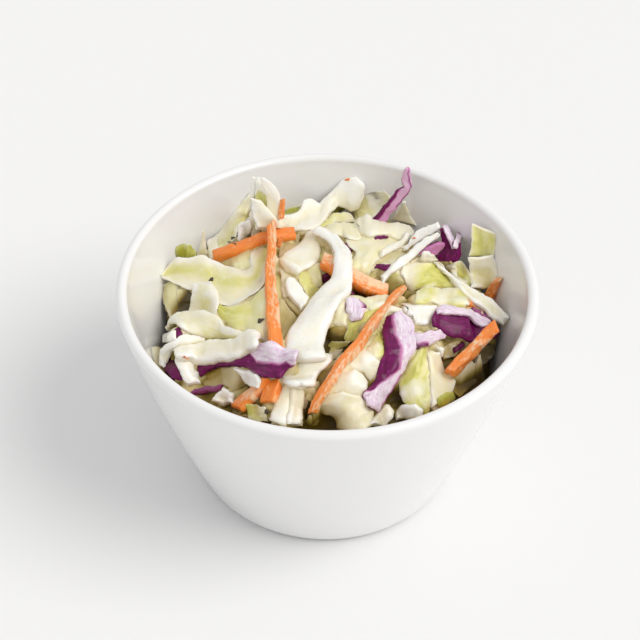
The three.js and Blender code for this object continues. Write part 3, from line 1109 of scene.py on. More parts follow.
rib_sheet(*TIP_FRONT_PX, thick=1.4, film=0.5, lean=30)
CARROT_STUB_PX = [(283, 199, 3), (282, 207, 5), (281, 219, 6)]
carrot(CARROT_STUB_PX, thick=1.6, lean=30)
WHITE_BIT_PX = ([(240, 222), (238, 228), (240, 241)], [(252, 220), (252, 230), (247, 241)])
rib_sheet(*WHITE_BIT_PX, thick=1.3, film=0.9, lean=38, tip=-2.2, lift=(1.5, 1.5))
LEAF_RIGHT_OF_RED_PX = ([(403, 200), (398, 208), (392, 220)], [(405, 200), (410, 214), (417, 226)])
leaf_sheet(*LEAF_RIGHT_OF_RED_PX, thick=1.1, green=0.05, lean=10, film=0.35)
RED_STRIP_PX = (
    [(407, 166), (403, 172), (402, 180), (404, 187), (397, 190), (392, 197), (384, 206), (372, 220)],
    [(409, 167), (411, 176), (412, 185), (409, 192), (402, 201), (396, 209), (390, 216), (384, 226)],
)


def strip_skin(s, u):
    """A strip seen on its cut face, with skin down its left side from halfway, and in a line at right."""
    left_side = np.interp(s, [0.35, 0.5, 1.0], [-0.15, 0.55, 0.8]) - (u + 1)
    near_edge = 0.14 - np.abs(u - np.interp(s, [0, 0.3, 1], [0.1, 0.85, 0.9])) - 0.3 * (s > 0.65)
    return np.maximum(np.interp(s, [0.4, 1.0], [-0.09, -0.05]), np.maximum(left_side, near_edge))


red_sheet(*RED_STRIP_PX, thick=1.5, lean=12, cols=13, film=-0.5, skin=strip_skin)
WIDE_CREAM_LEAF_PX = (
    [(355, 222), (346, 230), (344, 236), (347, 244), (356, 252), (352, 263), (349, 272)],
    [(386, 222), (400, 230), (404, 246), (394, 250), (377, 261), (371, 268), (369, 277)],
)
leaf_sheet(*WIDE_CREAM_LEAF_PX, thick=1.0, green=lambda s, u: 0.12 + 0.1 * s, bend=0.6, film=0.2,
           pleats=(2, 0.3))
KNOT_LOOP_TOP_PX = (
    [(317, 229), (324, 222), (333, 215), (344, 212), (351, 214), (356, 221)],
    [(317, 230), (327, 225), (338, 223), (348, 222), (353, 222), (357, 222)],
)
leaf_sheet(*KNOT_LOOP_TOP_PX, green=lambda s, u: 0.75 - 0.75 * s)
KNOT_LOOP_LOWER_PX = (
    [(322, 229), (334, 225), (348, 223), (357, 224)],
    [(326, 234), (338, 234), (348, 240), (362, 240)],
)
leaf_sheet(*KNOT_LOOP_LOWER_PX, thick=1.3)
CREAM_LOOP_PX = (
    [(355, 222), (360, 218), (368, 215), (372, 221), (385, 225), (398, 223), (408, 227), (413, 234)],
    [(357, 226), (361, 234), (368, 238), (377, 237), (390, 236), (397, 240), (404, 242), (411, 240)],
)
rib_sheet(*CREAM_LOOP_PX, thick=2.0, bend=0.6, film=0.25)
RED_SLIT_PX = [(375, 238, 4), (388, 237, 4)]
red(RED_SLIT_PX, thick=0.8, soak=0.9)
CREAM_LOOP_TAIL_PX = [(408, 234, 12), (402, 243, 12), (392, 249, 12), (380, 254, 9)]
rib(CREAM_LOOP_TAIL_PX, thick=2.2, film=0.4)

# ---- Shreds along the left wall ----
# Broad leaf that lies from the wall towards the middle, with thick white rib across its lower edge. Two
# carrot sticks cross at its right end.
SPIKE_LEAF_PX = ([(203, 229), (200, 245), (197, 257)], [(205, 229), (206, 245), (208, 257)])
leaf_sheet(*SPIKE_LEAF_PX, lean=15, green=0.2)
SMALL_PALE_LEAF_PX = ([(208, 241), (208, 250), (210, 260)], [(218, 238), (219, 250), (217, 260)])
leaf_sheet(*SMALL_PALE_LEAF_PX, green=0.05)
GREEN_CURL_PX = (
    [(176, 246), (184, 243), (191, 245), (196, 254)],
    [(177, 259), (186, 260), (192, 259), (197, 257)],
)
leaf_sheet(*GREEN_CURL_PX, green=lambda s, u: 0.8 + 0.3 * (s < 0.45), bend=0.8, film=0.0, soak=0.0)
GREEN_LEAF_PX = (
    [(214, 299), (222, 306), (235, 306), (250, 300), (262, 288), (268, 284)],
    [(224, 328), (232, 331), (245, 334), (257, 336), (268, 346), (276, 348)],
)
leaf_sheet(*GREEN_LEAF_PX, green=lambda s, u: 0.75 - 0.6 * s - 0.2 * u, bend=0.6, rows=46, film=0.2)
BROAD_LEFT_LEAF_PX = (
    [(160, 275), (167, 267), (177, 258), (188, 258), (200, 255), (207, 256), (217, 262), (230, 267),
     (243, 271), (251, 267), (250, 254), (257, 244), (266, 238)],
    [(161, 277), (172, 283), (188, 290), (200, 292), (208, 296), (216, 303), (229, 307), (240, 303),
     (248, 299), (256, 294), (264, 286), (270, 270), (274, 250)],
)
leaf_sheet(*BROAD_LEFT_LEAF_PX, thick=1.0, green=lambda s, u: 0.05 + 0.5 * bell(u + 0.35 - 0.5 * s, 0.4),
           rows=60, cols=23, fold=0.5, film=0.3)
HANGING_LEAF_PX = (
    [(193, 283), (191, 295), (190, 307), (190, 316)],
    [(208, 282), (217, 290), (219, 302), (215, 318)],
)
leaf_sheet(*HANGING_LEAF_PX, thick=1.2, pleats=(1, -0.6), green=lambda s, u: 0.45 * bell(u - 0.1, 0.4),
           film=0.45)
RED_BEHIND_RIB_PX = [(184, 326, 8), (178, 333, 13), (172, 340, 10)]
red(RED_BEHIND_RIB_PX)
PALE_TAB_PX = ([(161, 334), (168, 331), (176, 331)], [(162, 343), (168, 343), (176, 340)])
leaf_sheet(*PALE_TAB_PX, thick=1.2, green=0.0, film=0.8)
CURVED_LEAF_PX = (
    [(167, 328), (171, 318), (179, 313), (189, 311), (205, 310), (216, 315), (222, 320), (224, 325),
     (232, 329), (240, 333), (246, 335)],
    [(169, 330), (173, 324), (179, 324), (183, 330), (189, 334), (198, 336), (206, 339), (220, 341),
     (230, 340), (240, 338), (246, 336)],
)
leaf_sheet(*CURVED_LEAF_PX, thick=1.8, green=lambda s, u: 0.1 + 0.25 * (s > 0.5) * (u > 0), rows=50,
           bend=0.8, fold=0.5, film=0.4)
CROSSING_CARROT_PX = [(213, 256, 9), (225, 253, 13), (240, 248, 14), (258, 241, 12), (276, 236, 11),
                      (295, 234, 12)]
carrot(CROSSING_CARROT_PX, thick=2.6, film=0.05)
CARROT_SPLINTER_PX = [(281, 238, 6), (279, 248, 4)]
carrot(CARROT_SPLINTER_PX, thick=1.6)
UPRIGHT_CARROT_PX = [(271, 224, 8), (272, 240, 12), (271, 255, 12), (270, 270, 13), (272, 310, 15),
                     (276, 352, 15)]
# Painted highlight: its film is thicker towards its right side, so that side is paler.
carrot(UPRIGHT_CARROT_PX, thick=2.8, film=lambda s, u: np.where(s < 0.85, 0.45 - 0.35 * u, 0.0))

# ---- Shreds in the middle ----
# Curled leaf and rib, a short carrot stick, and over them a broad twisted ribbon of white rib. Two thick
# ribs come out below its front end.
LOOP_LEAF_PX = ([(303, 264), (310, 264), (320, 263)], [(304, 288), (314, 290), (323, 288)])
leaf_sheet(*LOOP_LEAF_PX, thick=1.2, green=0.3)
LOOP_GREEN_LEAF_PX = ([(295, 270), (300, 285), (310, 300)], [(306, 272), (315, 284), (321, 292)])
leaf_sheet(*LOOP_GREEN_LEAF_PX, green=0.55)
# The ribbon's underside seen inside its loop: a leaf whose tan colour, from its green, its lack of film and
# its darkening, is painted shade.
LOOP_INNER_LEAF_PX = ([(318, 236), (321, 248), (322, 262)], [(329, 240), (335, 250), (333, 263)])
leaf_sheet(*LOOP_INNER_LEAF_PX, green=0.3, film=0.0, soak=0.8)
CONE_PX = (
    [(314, 230), (307, 234), (300, 244), (291, 249), (284, 255), (280, 261)],
    [(317, 231), (319, 238), (321, 250), (319, 261), (311, 268), (299, 274)],
)
rib_sheet(*CONE_PX, thick=1.8, bend=0.8, film=0.45)
CONE_FOOT_PX = ([(280, 258), (281, 264), (286, 272)], [(300, 266), (301, 270), (297, 276)])
leaf_sheet(*CONE_FOOT_PX, thick=1.0, film=0.4)
THUMB_RIB_PX = (
    [(288, 279), (284, 286), (287, 294), (293, 301), (301, 311)],
    [(294, 280), (300, 288), (305, 294), (309, 298), (307, 306)],
)
rib_sheet(*THUMB_RIB_PX, thick=2.4, film=0.8)
SHORT_CARROT_PX = [(322, 260, 13), (336, 268, 14), (352, 278, 13), (368, 286, 13), (387, 293, 12)]
# Painted highlight and shade: its film is thicker towards its upper side, so that side is paler and the
# lower one darker.
carrot(SHORT_CARROT_PX, thick=3.0, film=lambda s, u: 0.75 - 0.55 * u)
PALE_LEAF_UNDER_CARROT_PX = ([(359, 298), (372, 296), (391, 296)], [(360, 306), (372, 312), (384, 308)])
leaf_sheet(*PALE_LEAF_UNDER_CARROT_PX, thick=1.1, green=0.2)
GREEN_FOLD_BY_CARROT_PX = (
    [(364, 314), (353, 319), (348, 327), (344, 339)],
    [(378, 308), (368, 326), (356, 340), (348, 344)],
)
leaf_sheet(*GREEN_FOLD_BY_CARROT_PX, green=0.75)
NARROW_RIB_PX = ([(337, 303), (335, 316), (331, 325)], [(348, 302), (348, 314), (346, 326)])
rib_sheet(*NARROW_RIB_PX, thick=1.4, green=0.15)
RED_CHIP_PX = ([(346, 299), (346, 310), (351, 321)], [(360, 302), (367, 307), (361, 319)])
red_sheet(*RED_CHIP_PX, skin=lambda s, u: u - 0.55 - 0.7 * (s > 0.5), thick=2.0, film=0.6)
GREEN_STRIP_BY_RED_PX = (
    [(366, 334), (368, 346), (372, 356), (380, 364)],
    [(378, 324), (383, 340), (385, 352), (385, 364)],
)
leaf_sheet(*GREEN_STRIP_BY_RED_PX, green=lambda s, u: 0.45 + 0.4 * u)
GREEN_BELOW_RIBBON_PX = ([(326, 344), (333, 342), (351, 341)], [(324, 351), (336, 353), (346, 347)])
leaf_sheet(*GREEN_BELOW_RIBBON_PX, green=0.6)
WHITE_BELOW_RIBBON_PX = ([(324, 351), (334, 351), (343, 349)], [(328, 362), (334, 360), (340, 356)])
leaf_sheet(*WHITE_BELOW_RIBBON_PX, green=0.05)
LEAF_UNDER_CARROT_PX = ([(334, 362), (340, 374), (340, 392)], [(352, 348), (360, 370), (352, 396)])
leaf_sheet(*LEAF_UNDER_CARROT_PX, green=0.25, soak=0.8)
UPPER_FOLD_PX = (
    [(338, 368), (350, 354), (365, 350), (374, 356), (381, 364)],
    [(338, 374), (352, 370), (363, 374), (369, 381), (378, 373)],
)
rib_sheet(*UPPER_FOLD_PX, thick=1.8, bend=0.6, film=0.5)
ROUND_FOLD_PX = (
    [(328, 384), (342, 373), (354, 370), (362, 375), (367, 384)],
    [(324, 394), (338, 394), (348, 395), (356, 397), (364, 393)],
)
rib_sheet(*ROUND_FOLD_PX, thick=2.4, bend=0.7, film=0.45)
FRONT_CHUNK_PX = (
    [(322, 396), (344, 391), (359, 396), (368, 401), (372, 411), (371, 426)],
    [(312, 410), (330, 414), (334, 419), (337, 428), (344, 433), (358, 435)],
)
rib_sheet(*FRONT_CHUNK_PX, thick=1.6, bend=1.2, form="ridge", green=0.1, fold=0.7, film=0.1, soak=0.9)
FRONT_RIBS_BACKING_PX = ([(286, 384), (278, 404), (270, 424)], [(314, 384), (308, 404), (302, 426)])
leaf_sheet(*FRONT_RIBS_BACKING_PX, green=0.1, film=0.3, thick=1.0)
FRONT_RIB_LEFT_PX = ([(282, 383), (277, 400), (270, 421)], [(293, 384), (291, 402), (286, 426)])
rib_sheet(*FRONT_RIB_LEFT_PX, thick=2.4, film=0.5, soak=0.0)
FRONT_RIB_RIGHT_PX = ([(291, 384), (291, 402), (287, 424)], [(305, 385), (304, 406), (300, 425)])
rib_sheet(*FRONT_RIB_RIGHT_PX, thick=2.2, film=0.4, soak=0.0)
CREAM_BESIDE_RIBS_PX = ([(301, 386), (306, 392), (306, 400)], [(318, 382), (319, 390), (312, 402)])
leaf_sheet(*CREAM_BESIDE_RIBS_PX, green=0.3, film=0.1)
RIBBON_END_PX = (
    [(296, 356), (289, 370), (281, 380), (284, 384), (296, 386)],
    [(333, 356), (331, 363), (320, 373), (316, 380), (313, 387)],
)
rib_sheet(*RIBBON_END_PX, thick=2.4, bend=0.6, film=0.7, soak=0.0, lift=(1.2, 0.6))
RIBBON_PX = (
    [(314, 231), (318, 236), (326, 240), (332, 249), (335, 258), (334, 272), (331, 281), (325, 286),
     (314, 299), (300, 317), (290, 330), (286, 341), (283, 354), (291, 362)],
    [(318, 231), (326, 231), (336, 237), (344, 246), (349, 255), (352, 268), (353, 281), (350, 294),
     (343, 299), (339, 306), (333, 316), (328, 330), (323, 346), (326, 360)],
)
rib_sheet(*RIBBON_PX, thick=2.8, rows=70, cols=19, stiff=40, bend=0.8, fold=0.4, film=0.75)

# ---- Shreds at the front left ----
# A broad white rib with a stub that hangs at the wall, a long red strip beside it, and short bits of carrot
# below.
SHORT_FRONT_CARROT_PX = [(273, 374, 24), (272, 388, 23), (268, 403, 14)]
carrot(SHORT_FRONT_CARROT_PX, thick=2.6, film=0.2)
LONG_FRONT_CARROT_PX = [(237, 409, 15), (246, 400, 18), (256, 391, 18), (264, 376, 16)]
carrot(LONG_FRONT_CARROT_PX, thick=2.6, film=lambda s, u: 0.8 * bell(s - 0.5, 0.25))
LONG_RED_PX = (
    [(194, 362), (206, 363), (218, 361), (229, 361), (240, 356), (250, 350), (258, 345), (272, 342),
     (284, 349), (299, 351)],
    [(201, 378), (208, 372), (218, 366), (232, 365), (245, 366), (250, 369), (257, 374), (268, 378),
     (280, 378), (295, 362)],
)


def long_red_skin(s, u):
    """Skin all across the first half, and after it only on the side nearer to the front."""
    return u - np.interp(s, [0.5, 0.6, 0.9, 1.0], [-1.2, 0.15, 0.2, 1.0])


red_sheet(*LONG_RED_PX, skin=long_red_skin, thick=1.4, rows=60, cols=21, bend=1.4, form="ridge",
          lift=(0, 0, 0.8, 2.0, 2.2))
ARCHED_LEAF_PX = (
    [(159, 365), (161, 349), (167, 343), (176, 339), (183, 335), (190, 334), (198, 336), (205, 339)],
    [(163, 368), (168, 359), (173, 351), (179, 347), (184, 345), (195, 345), (203, 345), (206, 344)],
)
leaf_sheet(*ARCHED_LEAF_PX, thick=1.5, green=0.05, rows=46, film=0.8)
RED_AT_WALL_PX = ([(168, 371), (178, 366), (186, 364)], [(172, 377), (181, 381), (190, 380)])
red_sheet(*RED_AT_WALL_PX, film=0.0, soak=1.2)
HANGING_STUB_PX = (
    [(175, 352), (176, 364), (181, 375), (187, 386)],
    [(188, 354), (194, 365), (198, 375), (201, 384)],
)
rib_sheet(*HANGING_STUB_PX, thick=2.4, film=0.95)
BROAD_RIB_PX = (
    [(175, 353), (180, 348), (187, 345), (203, 344), (211, 340), (222, 341), (235, 338), (241, 333),
     (249, 330), (256, 333), (258, 339)],
    [(176, 359), (189, 360), (195, 363), (206, 364), (218, 362), (229, 361), (240, 357), (250, 352),
     (257, 349), (258, 344), (258, 340)],
)
rib_sheet(*BROAD_RIB_PX, thick=3.0, rows=50, bend=0.6, film=0.45)
WHITE_TRIANGLE_PX = (
    [(234, 368), (248, 371), (257, 374), (261, 381)],
    [(236, 370), (243, 378), (250, 387), (259, 388)],
)
rib_sheet(*WHITE_TRIANGLE_PX, thick=1.6, film=0.95)
WHITE_TAB_PX = ([(212, 401), (218, 392), (224, 387)], [(224, 406), (232, 402), (233, 393)])
rib_sheet(*WHITE_TAB_PX, thick=2.2, film=0.7)
GREEN_CHIP_PX = ([(246, 405), (256, 404), (266, 407)], [(248, 418), (256, 421), (268, 421)])
leaf_sheet(*GREEN_CHIP_PX, green=lambda s, u: 1.0 - s)

# ---- Shreds on the right ----
# Narrow strips at the back, squares of green leaf against the wall, folded leaf before them, and a red
# peak and a red wedge.
UPPER_STRIP_PX = (
    [(438, 222), (427, 226), (417, 230), (409, 243), (402, 248)],
    [(441, 229), (434, 234), (421, 240), (413, 246), (404, 252)],
)
rib_sheet(*UPPER_STRIP_PX, thick=1.6, film=0.6, lean=52)
RED_PEAK_PX = (
    [(441, 228), (441, 238), (444, 248), (437, 256), (435, 263)],
    [(444, 228), (453, 246), (461, 244), (461, 254), (457, 262)],
)
red_sheet(*RED_PEAK_PX, lean=20, thick=1.6)
RED_PEAK_LEFT_EDGE_PX = ([(442, 226), (447, 238), (453, 249)], [(446, 226), (452, 236), (457, 246)])
red_sheet(*RED_PEAK_LEFT_EDGE_PX, skin=-0.6, thick=1.1)
RED_PEAK_RIGHT_EDGE_PX = ([(457, 233), (454, 241), (452, 248)], [(461, 236), (459, 244), (456, 249)])
red_sheet(*RED_PEAK_RIGHT_EDGE_PX, skin=-0.6, thick=1.1)
LOWER_STRIP_PX = (
    [(438, 233), (427, 237), (416, 244), (407, 254), (396, 260), (380, 277)],
    [(440, 235), (430, 244), (420, 253), (411, 261), (401, 268), (391, 275), (383, 283)],
)
rib_sheet(*LOWER_STRIP_PX, thick=1.8, rows=46, film=0.7, lean=52)
LILAC_LEAF_PX = (
    [(420, 255), (425, 248), (431, 245), (439, 241)],
    [(430, 256), (437, 254), (443, 246), (443, 243)],
)
red_sheet(*LILAC_LEAF_PX, skin=0.0, film=0.1)
CLAW_PX = ([(422, 252), (428, 251), (434, 256)], [(420, 262), (430, 262), (438, 260)])
leaf_sheet(*CLAW_PX, thick=1.2, green=0.0)
GREEN_SQUARE_PX = ([(472, 223), (471, 240), (469, 256)], [(496, 233), (496, 242), (494, 257)])
leaf_sheet(*GREEN_SQUARE_PX, lean=40, tip=-2.0, film=0.0, thick=1.0, lift=(2, 2),
           green=lambda s, u: np.where(s < 0.07, 0.0, 0.55 + 0.15 * s), soak=0.0)
PALE_SQUARE_PX = (
    [(468, 257), (469, 269), (472, 281), (471, 287)],
    [(493, 255), (497, 268), (498, 278), (489, 290)],
)
leaf_sheet(*PALE_SQUARE_PX, thick=1.1, green=lambda s, u: 0.3 + 0.15 * u, film=0.4, soak=0.0, lean=38,
           tip=-1.6, lift=(1.8, 1.8))
OLIVE_LEAF_PX = (
    [(455, 262), (462, 261), (468, 269), (473, 280)],
    [(456, 276), (462, 280), (468, 284), (471, 285)],
)
leaf_sheet(*OLIVE_LEAF_PX, green=lambda s, u: 0.55 + 0.4 * u)
OLIVE_LEAF_FOLD_PX = ([(445, 266), (449, 271), (452, 275)], [(455, 262), (457, 269), (457, 279)])
rib_sheet(*OLIVE_LEAF_FOLD_PX, thick=1.3)
BROAD_GREEN_LEAF_PX = (
    [(400, 271), (404, 266), (418, 262), (432, 263), (442, 272), (459, 287), (458, 292)],
    [(403, 278), (407, 287), (410, 293), (416, 290), (424, 286), (432, 285), (443, 290), (452, 293)],
)
leaf_sheet(*BROAD_GREEN_LEAF_PX, green=lambda s, u: 0.75 * np.clip(4 * s - 0.6, 0, 1), bend=0.7, rows=46,
           film=0.15)
FOLDED_LEAF_PX = (
    [(416, 291), (428, 286), (442, 290), (460, 288), (465, 296), (470, 305)],
    [(414, 304), (423, 304), (432, 302), (440, 306), (450, 309), (464, 307)],
)
leaf_sheet(*FOLDED_LEAF_PX, thick=1.3, green=lambda s, u: 0.35 + 0.35 * np.sin(9 * s), bend=0.6,
           film=0.35)
CREAM_SQUARE_PX = (
    [(398, 304), (415, 305), (426, 306), (437, 307)],
    [(408, 311), (414, 326), (424, 326), (434, 322)],
)
rib_sheet(*CREAM_SQUARE_PX, thick=2.0, film=0.85)
CARROT_AT_WALL_PX = [(499, 278, 10), (494, 288, 14), (488, 300, 13)]
carrot(CARROT_AT_WALL_PX, thick=2.4, film=lambda s, u: 0.7 - 0.7 * s, soak=0.0)
WEDGE_END_PX = ([(462, 314), (474, 315), (486, 324)], [(466, 339), (473, 342), (482, 341)])
red_sheet(*WEDGE_END_PX, thick=1.4, lift=(0.4, 1.4), tip=0.8, film=0.0)
WEDGE_PX = ([(437, 310), (450, 313), (468, 315)], [(433, 326), (445, 335), (473, 342)])
red_sheet(*WEDGE_PX, thick=1.6, bend=0.8, form="ridge", lift=(1.4, 0.6), square=7.0, fold=0.6, film=0.0)
WEDGE_BEHIND_PX = ([(473, 308), (484, 310), (495, 319)], [(474, 316), (482, 320), (490, 324)])
red_sheet(*WEDGE_BEHIND_PX, skin=0.05)
WEDGE_EDGE_PX = (
    [(436, 309), (442, 306), (456, 308), (472, 309), (480, 316), (490, 321)],
    [(438, 313), (450, 315), (467, 316), (475, 323), (481, 328), (487, 325)],
)
red_sheet(*WEDGE_EDGE_PX, skin=-0.5, thick=1.4, film=0.4)
LONG_RIB_PX = (
    [(434, 262), (446, 270), (461, 281), (478, 291), (492, 300), (500, 307), (509, 318)],
    [(440, 268), (455, 284), (465, 294), (475, 302), (487, 311), (495, 320), (503, 325)],
)
rib_sheet(*LONG_RIB_PX, thick=1.8, rows=46, green=0.08, film=0.5, lean=60, lift=(0.4, 1.8))

# ---- Shreds at the front right ----
# A folded green leaf, cream bits, and a red strip with a branch that lies towards the front. A thick carrot
# stick leans on the wall beside them.
SMALL_WHITE_PX = ([(424, 348), (435, 343), (444, 349)], [(428, 360), (436, 362), (443, 356)])
rib_sheet(*SMALL_WHITE_PX, thick=1.8)
CREAM_FOLD_PX = (
    [(426, 352), (428, 368), (430, 384), (431, 408)],
    [(440, 352), (443, 366), (456, 382), (449, 396)],
)
leaf_sheet(*CREAM_FOLD_PX, thick=1.4, green=0.1, fold=0.5, lift=(0.8, 0.8))
GREEN_CONE_PX = (
    [(420, 344), (416, 352), (410, 362), (404, 373), (399, 383), (400, 394), (404, 402), (414, 406),
     (422, 414)],
    [(421, 344), (426, 352), (428, 363), (429, 372), (430, 384), (431, 390), (432, 398), (431, 406),
     (427, 414)],
)
leaf_sheet(*GREEN_CONE_PX, green=lambda s, u: 0.35 + 0.45 * np.abs(np.sin(5 * s + 2 * u)), bend=0.9,
           form="ridge", thick=1.2, rows=50, fold=0.6, film=lambda s, u: 0.1 + 0.4 * bell(s - 0.62, 0.18))
GREEN_DISC_PX = ([(438, 398), (444, 393), (452, 392)], [(440, 407), (448, 406), (454, 398)])
leaf_sheet(*GREEN_DISC_PX, green=1.0, thick=1.6, film=-0.5, soak=0.7)
FRONT_WHITE_PX = (
    [(395, 414), (404, 404), (416, 403), (423, 410)],
    [(396, 420), (408, 418), (418, 417), (423, 414)],
)
rib_sheet(*FRONT_WHITE_PX, thick=2.2, film=0.7)
FRONT_CREAM_PX = (
    [(371, 424), (378, 412), (384, 405), (389, 405)],
    [(384, 428), (390, 422), (393, 416), (394, 412)],
)
rib_sheet(*FRONT_CREAM_PX, thick=2.0, film=0.7)
RED_BRANCH_PX = (
    [(408, 329), (416, 334), (424, 333), (433, 330), (440, 330), (446, 336)],
    [(408, 342), (414, 349), (425, 347), (435, 342), (441, 339), (445, 337)],
)
red_sheet(*RED_BRANCH_PX, skin=lambda s, u: (u - 0.7) * (s < 0.5) - 0.3 * (s >= 0.5), thick=1.8,
          film=0.45)
FORKED_RED_PX = (
    [(384, 317), (381, 328), (383, 340), (385, 352), (380, 367), (375, 381), (363, 395), (367, 404)],
    [(401, 310), (411, 320), (415, 331), (416, 348), (408, 361), (402, 372), (389, 392), (376, 412)],
)
FORK_SKIN_REACH = {  # how far across the skin reaches, at shares of the way along
    0.0: 0.0,
    0.12: -0.1,
    0.22: -0.2,
    0.42: 0.1,
    0.57: 0.38,
    0.69: -0.07,
    0.8: -0.5,
    0.88: -1.3,
}


def fork_skin(s, u):
    """Skin on the left as far as a wandering line, and on the right edge near the front end."""
    left_side = np.interp(s, list(FORK_SKIN_REACH), list(FORK_SKIN_REACH.values())) - u
    return np.maximum(left_side, np.where(s > 0.6, u - 0.85, -1.0))


red_sheet(*FORKED_RED_PX, thick=1.8, bend=1.4, form="ridge", rows=60, cols=21, film=0.3, skin=fork_skin)
THICK_CARROT_PX = [(497, 325, 22, 3.0), (487, 335, 23, 2.4), (474, 348, 23, 1.7), (462, 360, 22, 1.2),
                   (449, 374, 21, 1.0)]
carrot(THICK_CARROT_PX, thick=3.6, rows=50, cols=15, soak=0.0, lean=62,
       film=lambda s, u: 0.1 + 0.5 * bell(s - 0.45, 0.22))

# ---- The long carrot stick ----
# It fell last of the big shreds, so it lies over everything from the middle to the front. It is straight
# and square across.
LONG_CARROT_PX = [(404, 288, 10), (389, 304, 11), (375, 321, 13), (359, 344, 15), (345, 360, 16),
                  (331, 381, 17), (319, 399, 16), (312, 413, 12)]
# Painted highlight: more film on its right half, so that side is paler.
carrot(LONG_CARROT_PX, thick=3.0, rows=50, film=lambda s, u: 0.2 + 0.45 * (u < -0.1))

# ---- Flecks ----
# Ground black pepper, and crumbs of carrot, stuck in the dressing. The pepper is joined with the leaves and
# takes the darkest of their colours.
PEPPER_PX = (  # place across the picture, length and width
    (260, 320, 5, 7),
    (211, 279, 4, 5),
    (229, 242, 4, 5),
    (234, 242, 5, 4),
    (267, 412, 4, 5),
    (232, 238, 3, 5),
)
CRUMBS_PX = ((347, 179, 4, 3), (414, 238, 3, 3), (184, 357, 4, 2), (188, 359, 3, 2))
FLECK = {"film": -1.0, "sink": 0.0, "rows": 10, "cols": 7}
for x, y, long, wide in PEPPER_PX:
    leaf([(x - long / 2, y, wide), (x + long / 2, y, wide)], thick=0.7, green=2.4, **FLECK)
for x, y, long, wide in CRUMBS_PX:
    lay("carrot", [(x - long / 2, y, wide), (x + long / 2, y, wide)], thick=0.6, square=2.0, **FLECK)

# ---- Shreds behind the front wall ----
# Leaf with some rib, carrot and red cabbage, which lie there as they do round the rest of the bowl. Only
# those that the lip hides from the front are kept.
FRONT_KINDS = (  # kind, width, thickness, stiffness, squareness
    ("cabbage_leaf", 8.0, 1.1, 14, 3.0),
    ("red_cabbage", 4.0, 1.5, 14, 3.0),
    ("cabbage_rib", 4.0, 1.9, 14, 2.8),
    ("cabbage_leaf", 9.0, 1.0, 14, 3.0),
    ("carrot", 3.0, 2.4, -2, 5.0),
    ("cabbage_leaf", 6.5, 1.2, 14, 3.0),
)
FRONT_TRIES = 150
FRONT_HALF_TURN = 72.0
for i in range(FRONT_TRIES):
    kind, width, thick, stiff, square = FRONT_KINDS[i % len(FRONT_KINDS)]
    turn = math.radians(-90 + FRONT_HALF_TURN * scatter.uniform(-1, 1))
    out = scatter.uniform(35, 46)
    heading = turn + math.pi / 2 + scatter.uniform(-0.9, 0.9)
    length = scatter.uniform(8, 17)
    width *= scatter.uniform(0.75, 1.25)
    curl = 0.0 if kind == "carrot" else scatter.uniform(-1, 1)
    x, y = out * math.cos(turn), out * math.sin(turn)
    drop(kind, x, y, heading, length, width, thick, scatter, curl=curl, stiff=stiff, square=square,
         unseen=True, green=scatter.uniform(0, 0.6), soak=0.6)

# ---- The imported part and the dressing in the gaps ----
# Packed shreds and dressing fill the bowl under the loose shreds: one closed body that follows the bowl's
# inside. The dressing has run down and filled the cracks. Its colour goes from tan to dark olive deeper in
# the gaps, which is painted shade.
CRACK_CELLS = 1
FILLET_PASSES = 3
FILLET_CELLS = 3
FILLET_HEIGHT = 0.3
BELOW_SHREDS = 0.8
UNDER_A_SHRED = 0.4
DRESSING_ABOVE_OUTLINE = 1.0
PACKED_TURNS = 420
PACKED_RINGS = 112
FULL_SHADE_DEPTH = 4.5
STANDS_OUT_AT = 0.6
HEAP_PASSES = (60, 240)
NEARBY_PASSES = 10
TALLER_THAN_ANY = 99.0
SHRED_OVER_CORE = 0.5
RIM_BLEND = 2.0
inside = (grid_r < inner_radius(heap_height(grid_x, grid_y))).astype(float)


def averaged(field, passes):
    """A height on the grid averaged over the part that is inside the bowl."""
    return eased(field * inside, passes) / np.maximum(eased(inside, passes), 1e-3)


def neighbours(field, pick, reach):
    """The highest or lowest value of a field within a few cells, both ways, on a round patch."""
    out = field
    for i in range(-reach, reach + 1):
        for j in range(-reach, reach + 1):
            if i * i + j * j <= reach * reach + 1:
                out = pick(out, np.roll(field, (i, j), (0, 1)))
    return out


def sampled(field, points):
    """A grid field's values at the rows of an array of points."""
    return height_on(field, points[:, 0], points[:, 1])


outline = heap_height(grid_x, grid_y)
surroundings = outline
for passes in HEAP_PASSES:
    surroundings = surroundings + averaged(pile - outline, passes) / len(HEAP_PASSES)
nearby = averaged(pile, NEARBY_PASSES)
cracks_filled = neighbours(neighbours(pile, np.maximum, CRACK_CELLS), np.minimum, CRACK_CELLS)
lowest = neighbours(np.where(inside > 0, cracks_filled, TALLER_THAN_ANY), np.minimum, FILLET_CELLS)
dressing_top = np.minimum(averaged(cracks_filled, FILLET_PASSES) - BELOW_SHREDS, lowest + FILLET_HEIGHT)
dressing_top = np.minimum(dressing_top, outline + DRESSING_ABOVE_OUTLINE)
has_shred = pile > packed_top + SHRED_OVER_CORE
dressing_top = np.where(has_shred, np.minimum(dressing_top, pile - UNDER_A_SHRED), dressing_top)

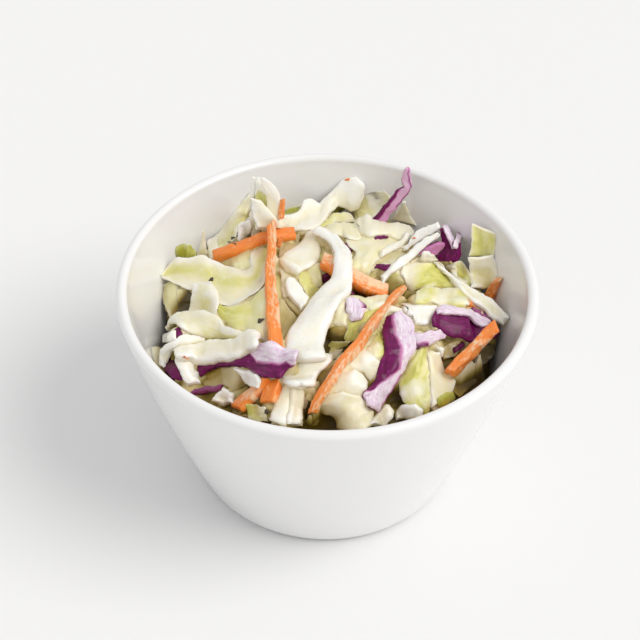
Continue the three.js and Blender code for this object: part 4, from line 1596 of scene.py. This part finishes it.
packed_side = floor_to_wall(packed_radius, INSIDE_FLOOR + GLAZE_GAP, INSIDE_FILLET, 8)
packed_wall = wall(packed_radius, packed_side[-1, 1], packed_edge, 8)
top_radii = packed_rim * np.sin(np.linspace(math.pi / 2, 0, PACKED_RINGS))
packed_profile = np.concatenate([
    [[0, INSIDE_FLOOR + GLAZE_GAP]],
    packed_side,
    packed_wall,
    np.column_stack([top_radii, np.full(PACKED_RINGS, packed_edge)]),
])
points, faces = turned(packed_profile, PACKED_TURNS)
on_top = np.arange(len(points)) >= 1 + (len(packed_side) + len(packed_wall)) * PACKED_TURNS
from_rim = np.clip((packed_rim - np.hypot(points[:, 0], points[:, 1])) / RIM_BLEND, 0, 1)
lifted = packed_edge + (sampled(dressing_top, points) - packed_edge) * from_rim
points[on_top, 2] = lifted[on_top]

gap_material, tree, shader = moist_material("packed_slaw", 0.3, (0.7, 0.8, 1.0), Roughness=0.5,
                                            Coat_Weight=0.0, Specular_IOR_Level=0.25)
# Painted shade: the dressing goes darker, down to nearly black, the further it lies below the heap's top.
GAP_SHADE_COLOURS = {  # from the top of the dressing down into the gaps
    0.0: (0.84, 0.75, 0.52),
    0.35: (0.66, 0.55, 0.27),
    0.7: (0.26, 0.19, 0.03),
    1.0: (0.08, 0.05, 0.004),
}
tree.links.new(ramp(tree, own_value(tree, "deep"), GAP_SHADE_COLOURS), shader.inputs["Base Color"])

packed = new_object("packed_slaw", points, faces, gap_material)
shade_depth = (sampled(surroundings, points) - points[:, 2]) / FULL_SHADE_DEPTH
shade_depth += 0.15 * lumps(points[:, 0], points[:, 1], 3.0, 77)
keep_value(packed, "deep", shade_depth)
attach(packed, "root")
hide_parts("slaw")

# ---- The four kinds of shreds, each joined into one piece ----
# A shred is darkened in the gaps, and has a whiter film where it stands out: painted shade and painted
# highlight. Both are judged by how far a place is under or over the heap's top, averaged widely round it or
# over a few millimetres.
for kind, (name, slot) in KINDS.items():
    first = np.cumsum([0] + [len(points) for points, _, _ in gathered[kind]])
    points = np.concatenate([points for points, _, _ in gathered[kind]])
    shade_depth = (sampled(surroundings, points) - points[:, 2]) / FULL_SHADE_DEPTH
    raised = (points[:, 2] - sampled(nearby, points)) / STANDS_OUT_AT
    quads = np.concatenate([faces + start for (_, faces, _), start in zip(gathered[kind], first)])
    piece = new_object(name, points, quads.tolist(), materials[slot])
    own = {value: np.concatenate([columns[value] for _, _, columns in gathered[kind]])
           for value in gathered[kind][0][2]}
    own |= {"deep": shade_depth * own.pop("soak"), "raised": np.clip(raised, -1, 1)}
    on_rim = own.pop("rim")
    if kind == "cabbage_leaf":  # thin leaf keeps the sharp edge of the cut
        ends = np.zeros(2 * len(piece.data.edges), int)
        piece.data.edges.foreach_get("vertices", ends)
        piece.data.edges.foreach_set("use_edge_sharp", on_rim[ends.reshape(-1, 2)].all(axis=1))
    for value, field in own.items():
        keep_value(piece, value, field)
    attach(piece, "root")
    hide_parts("slaw")
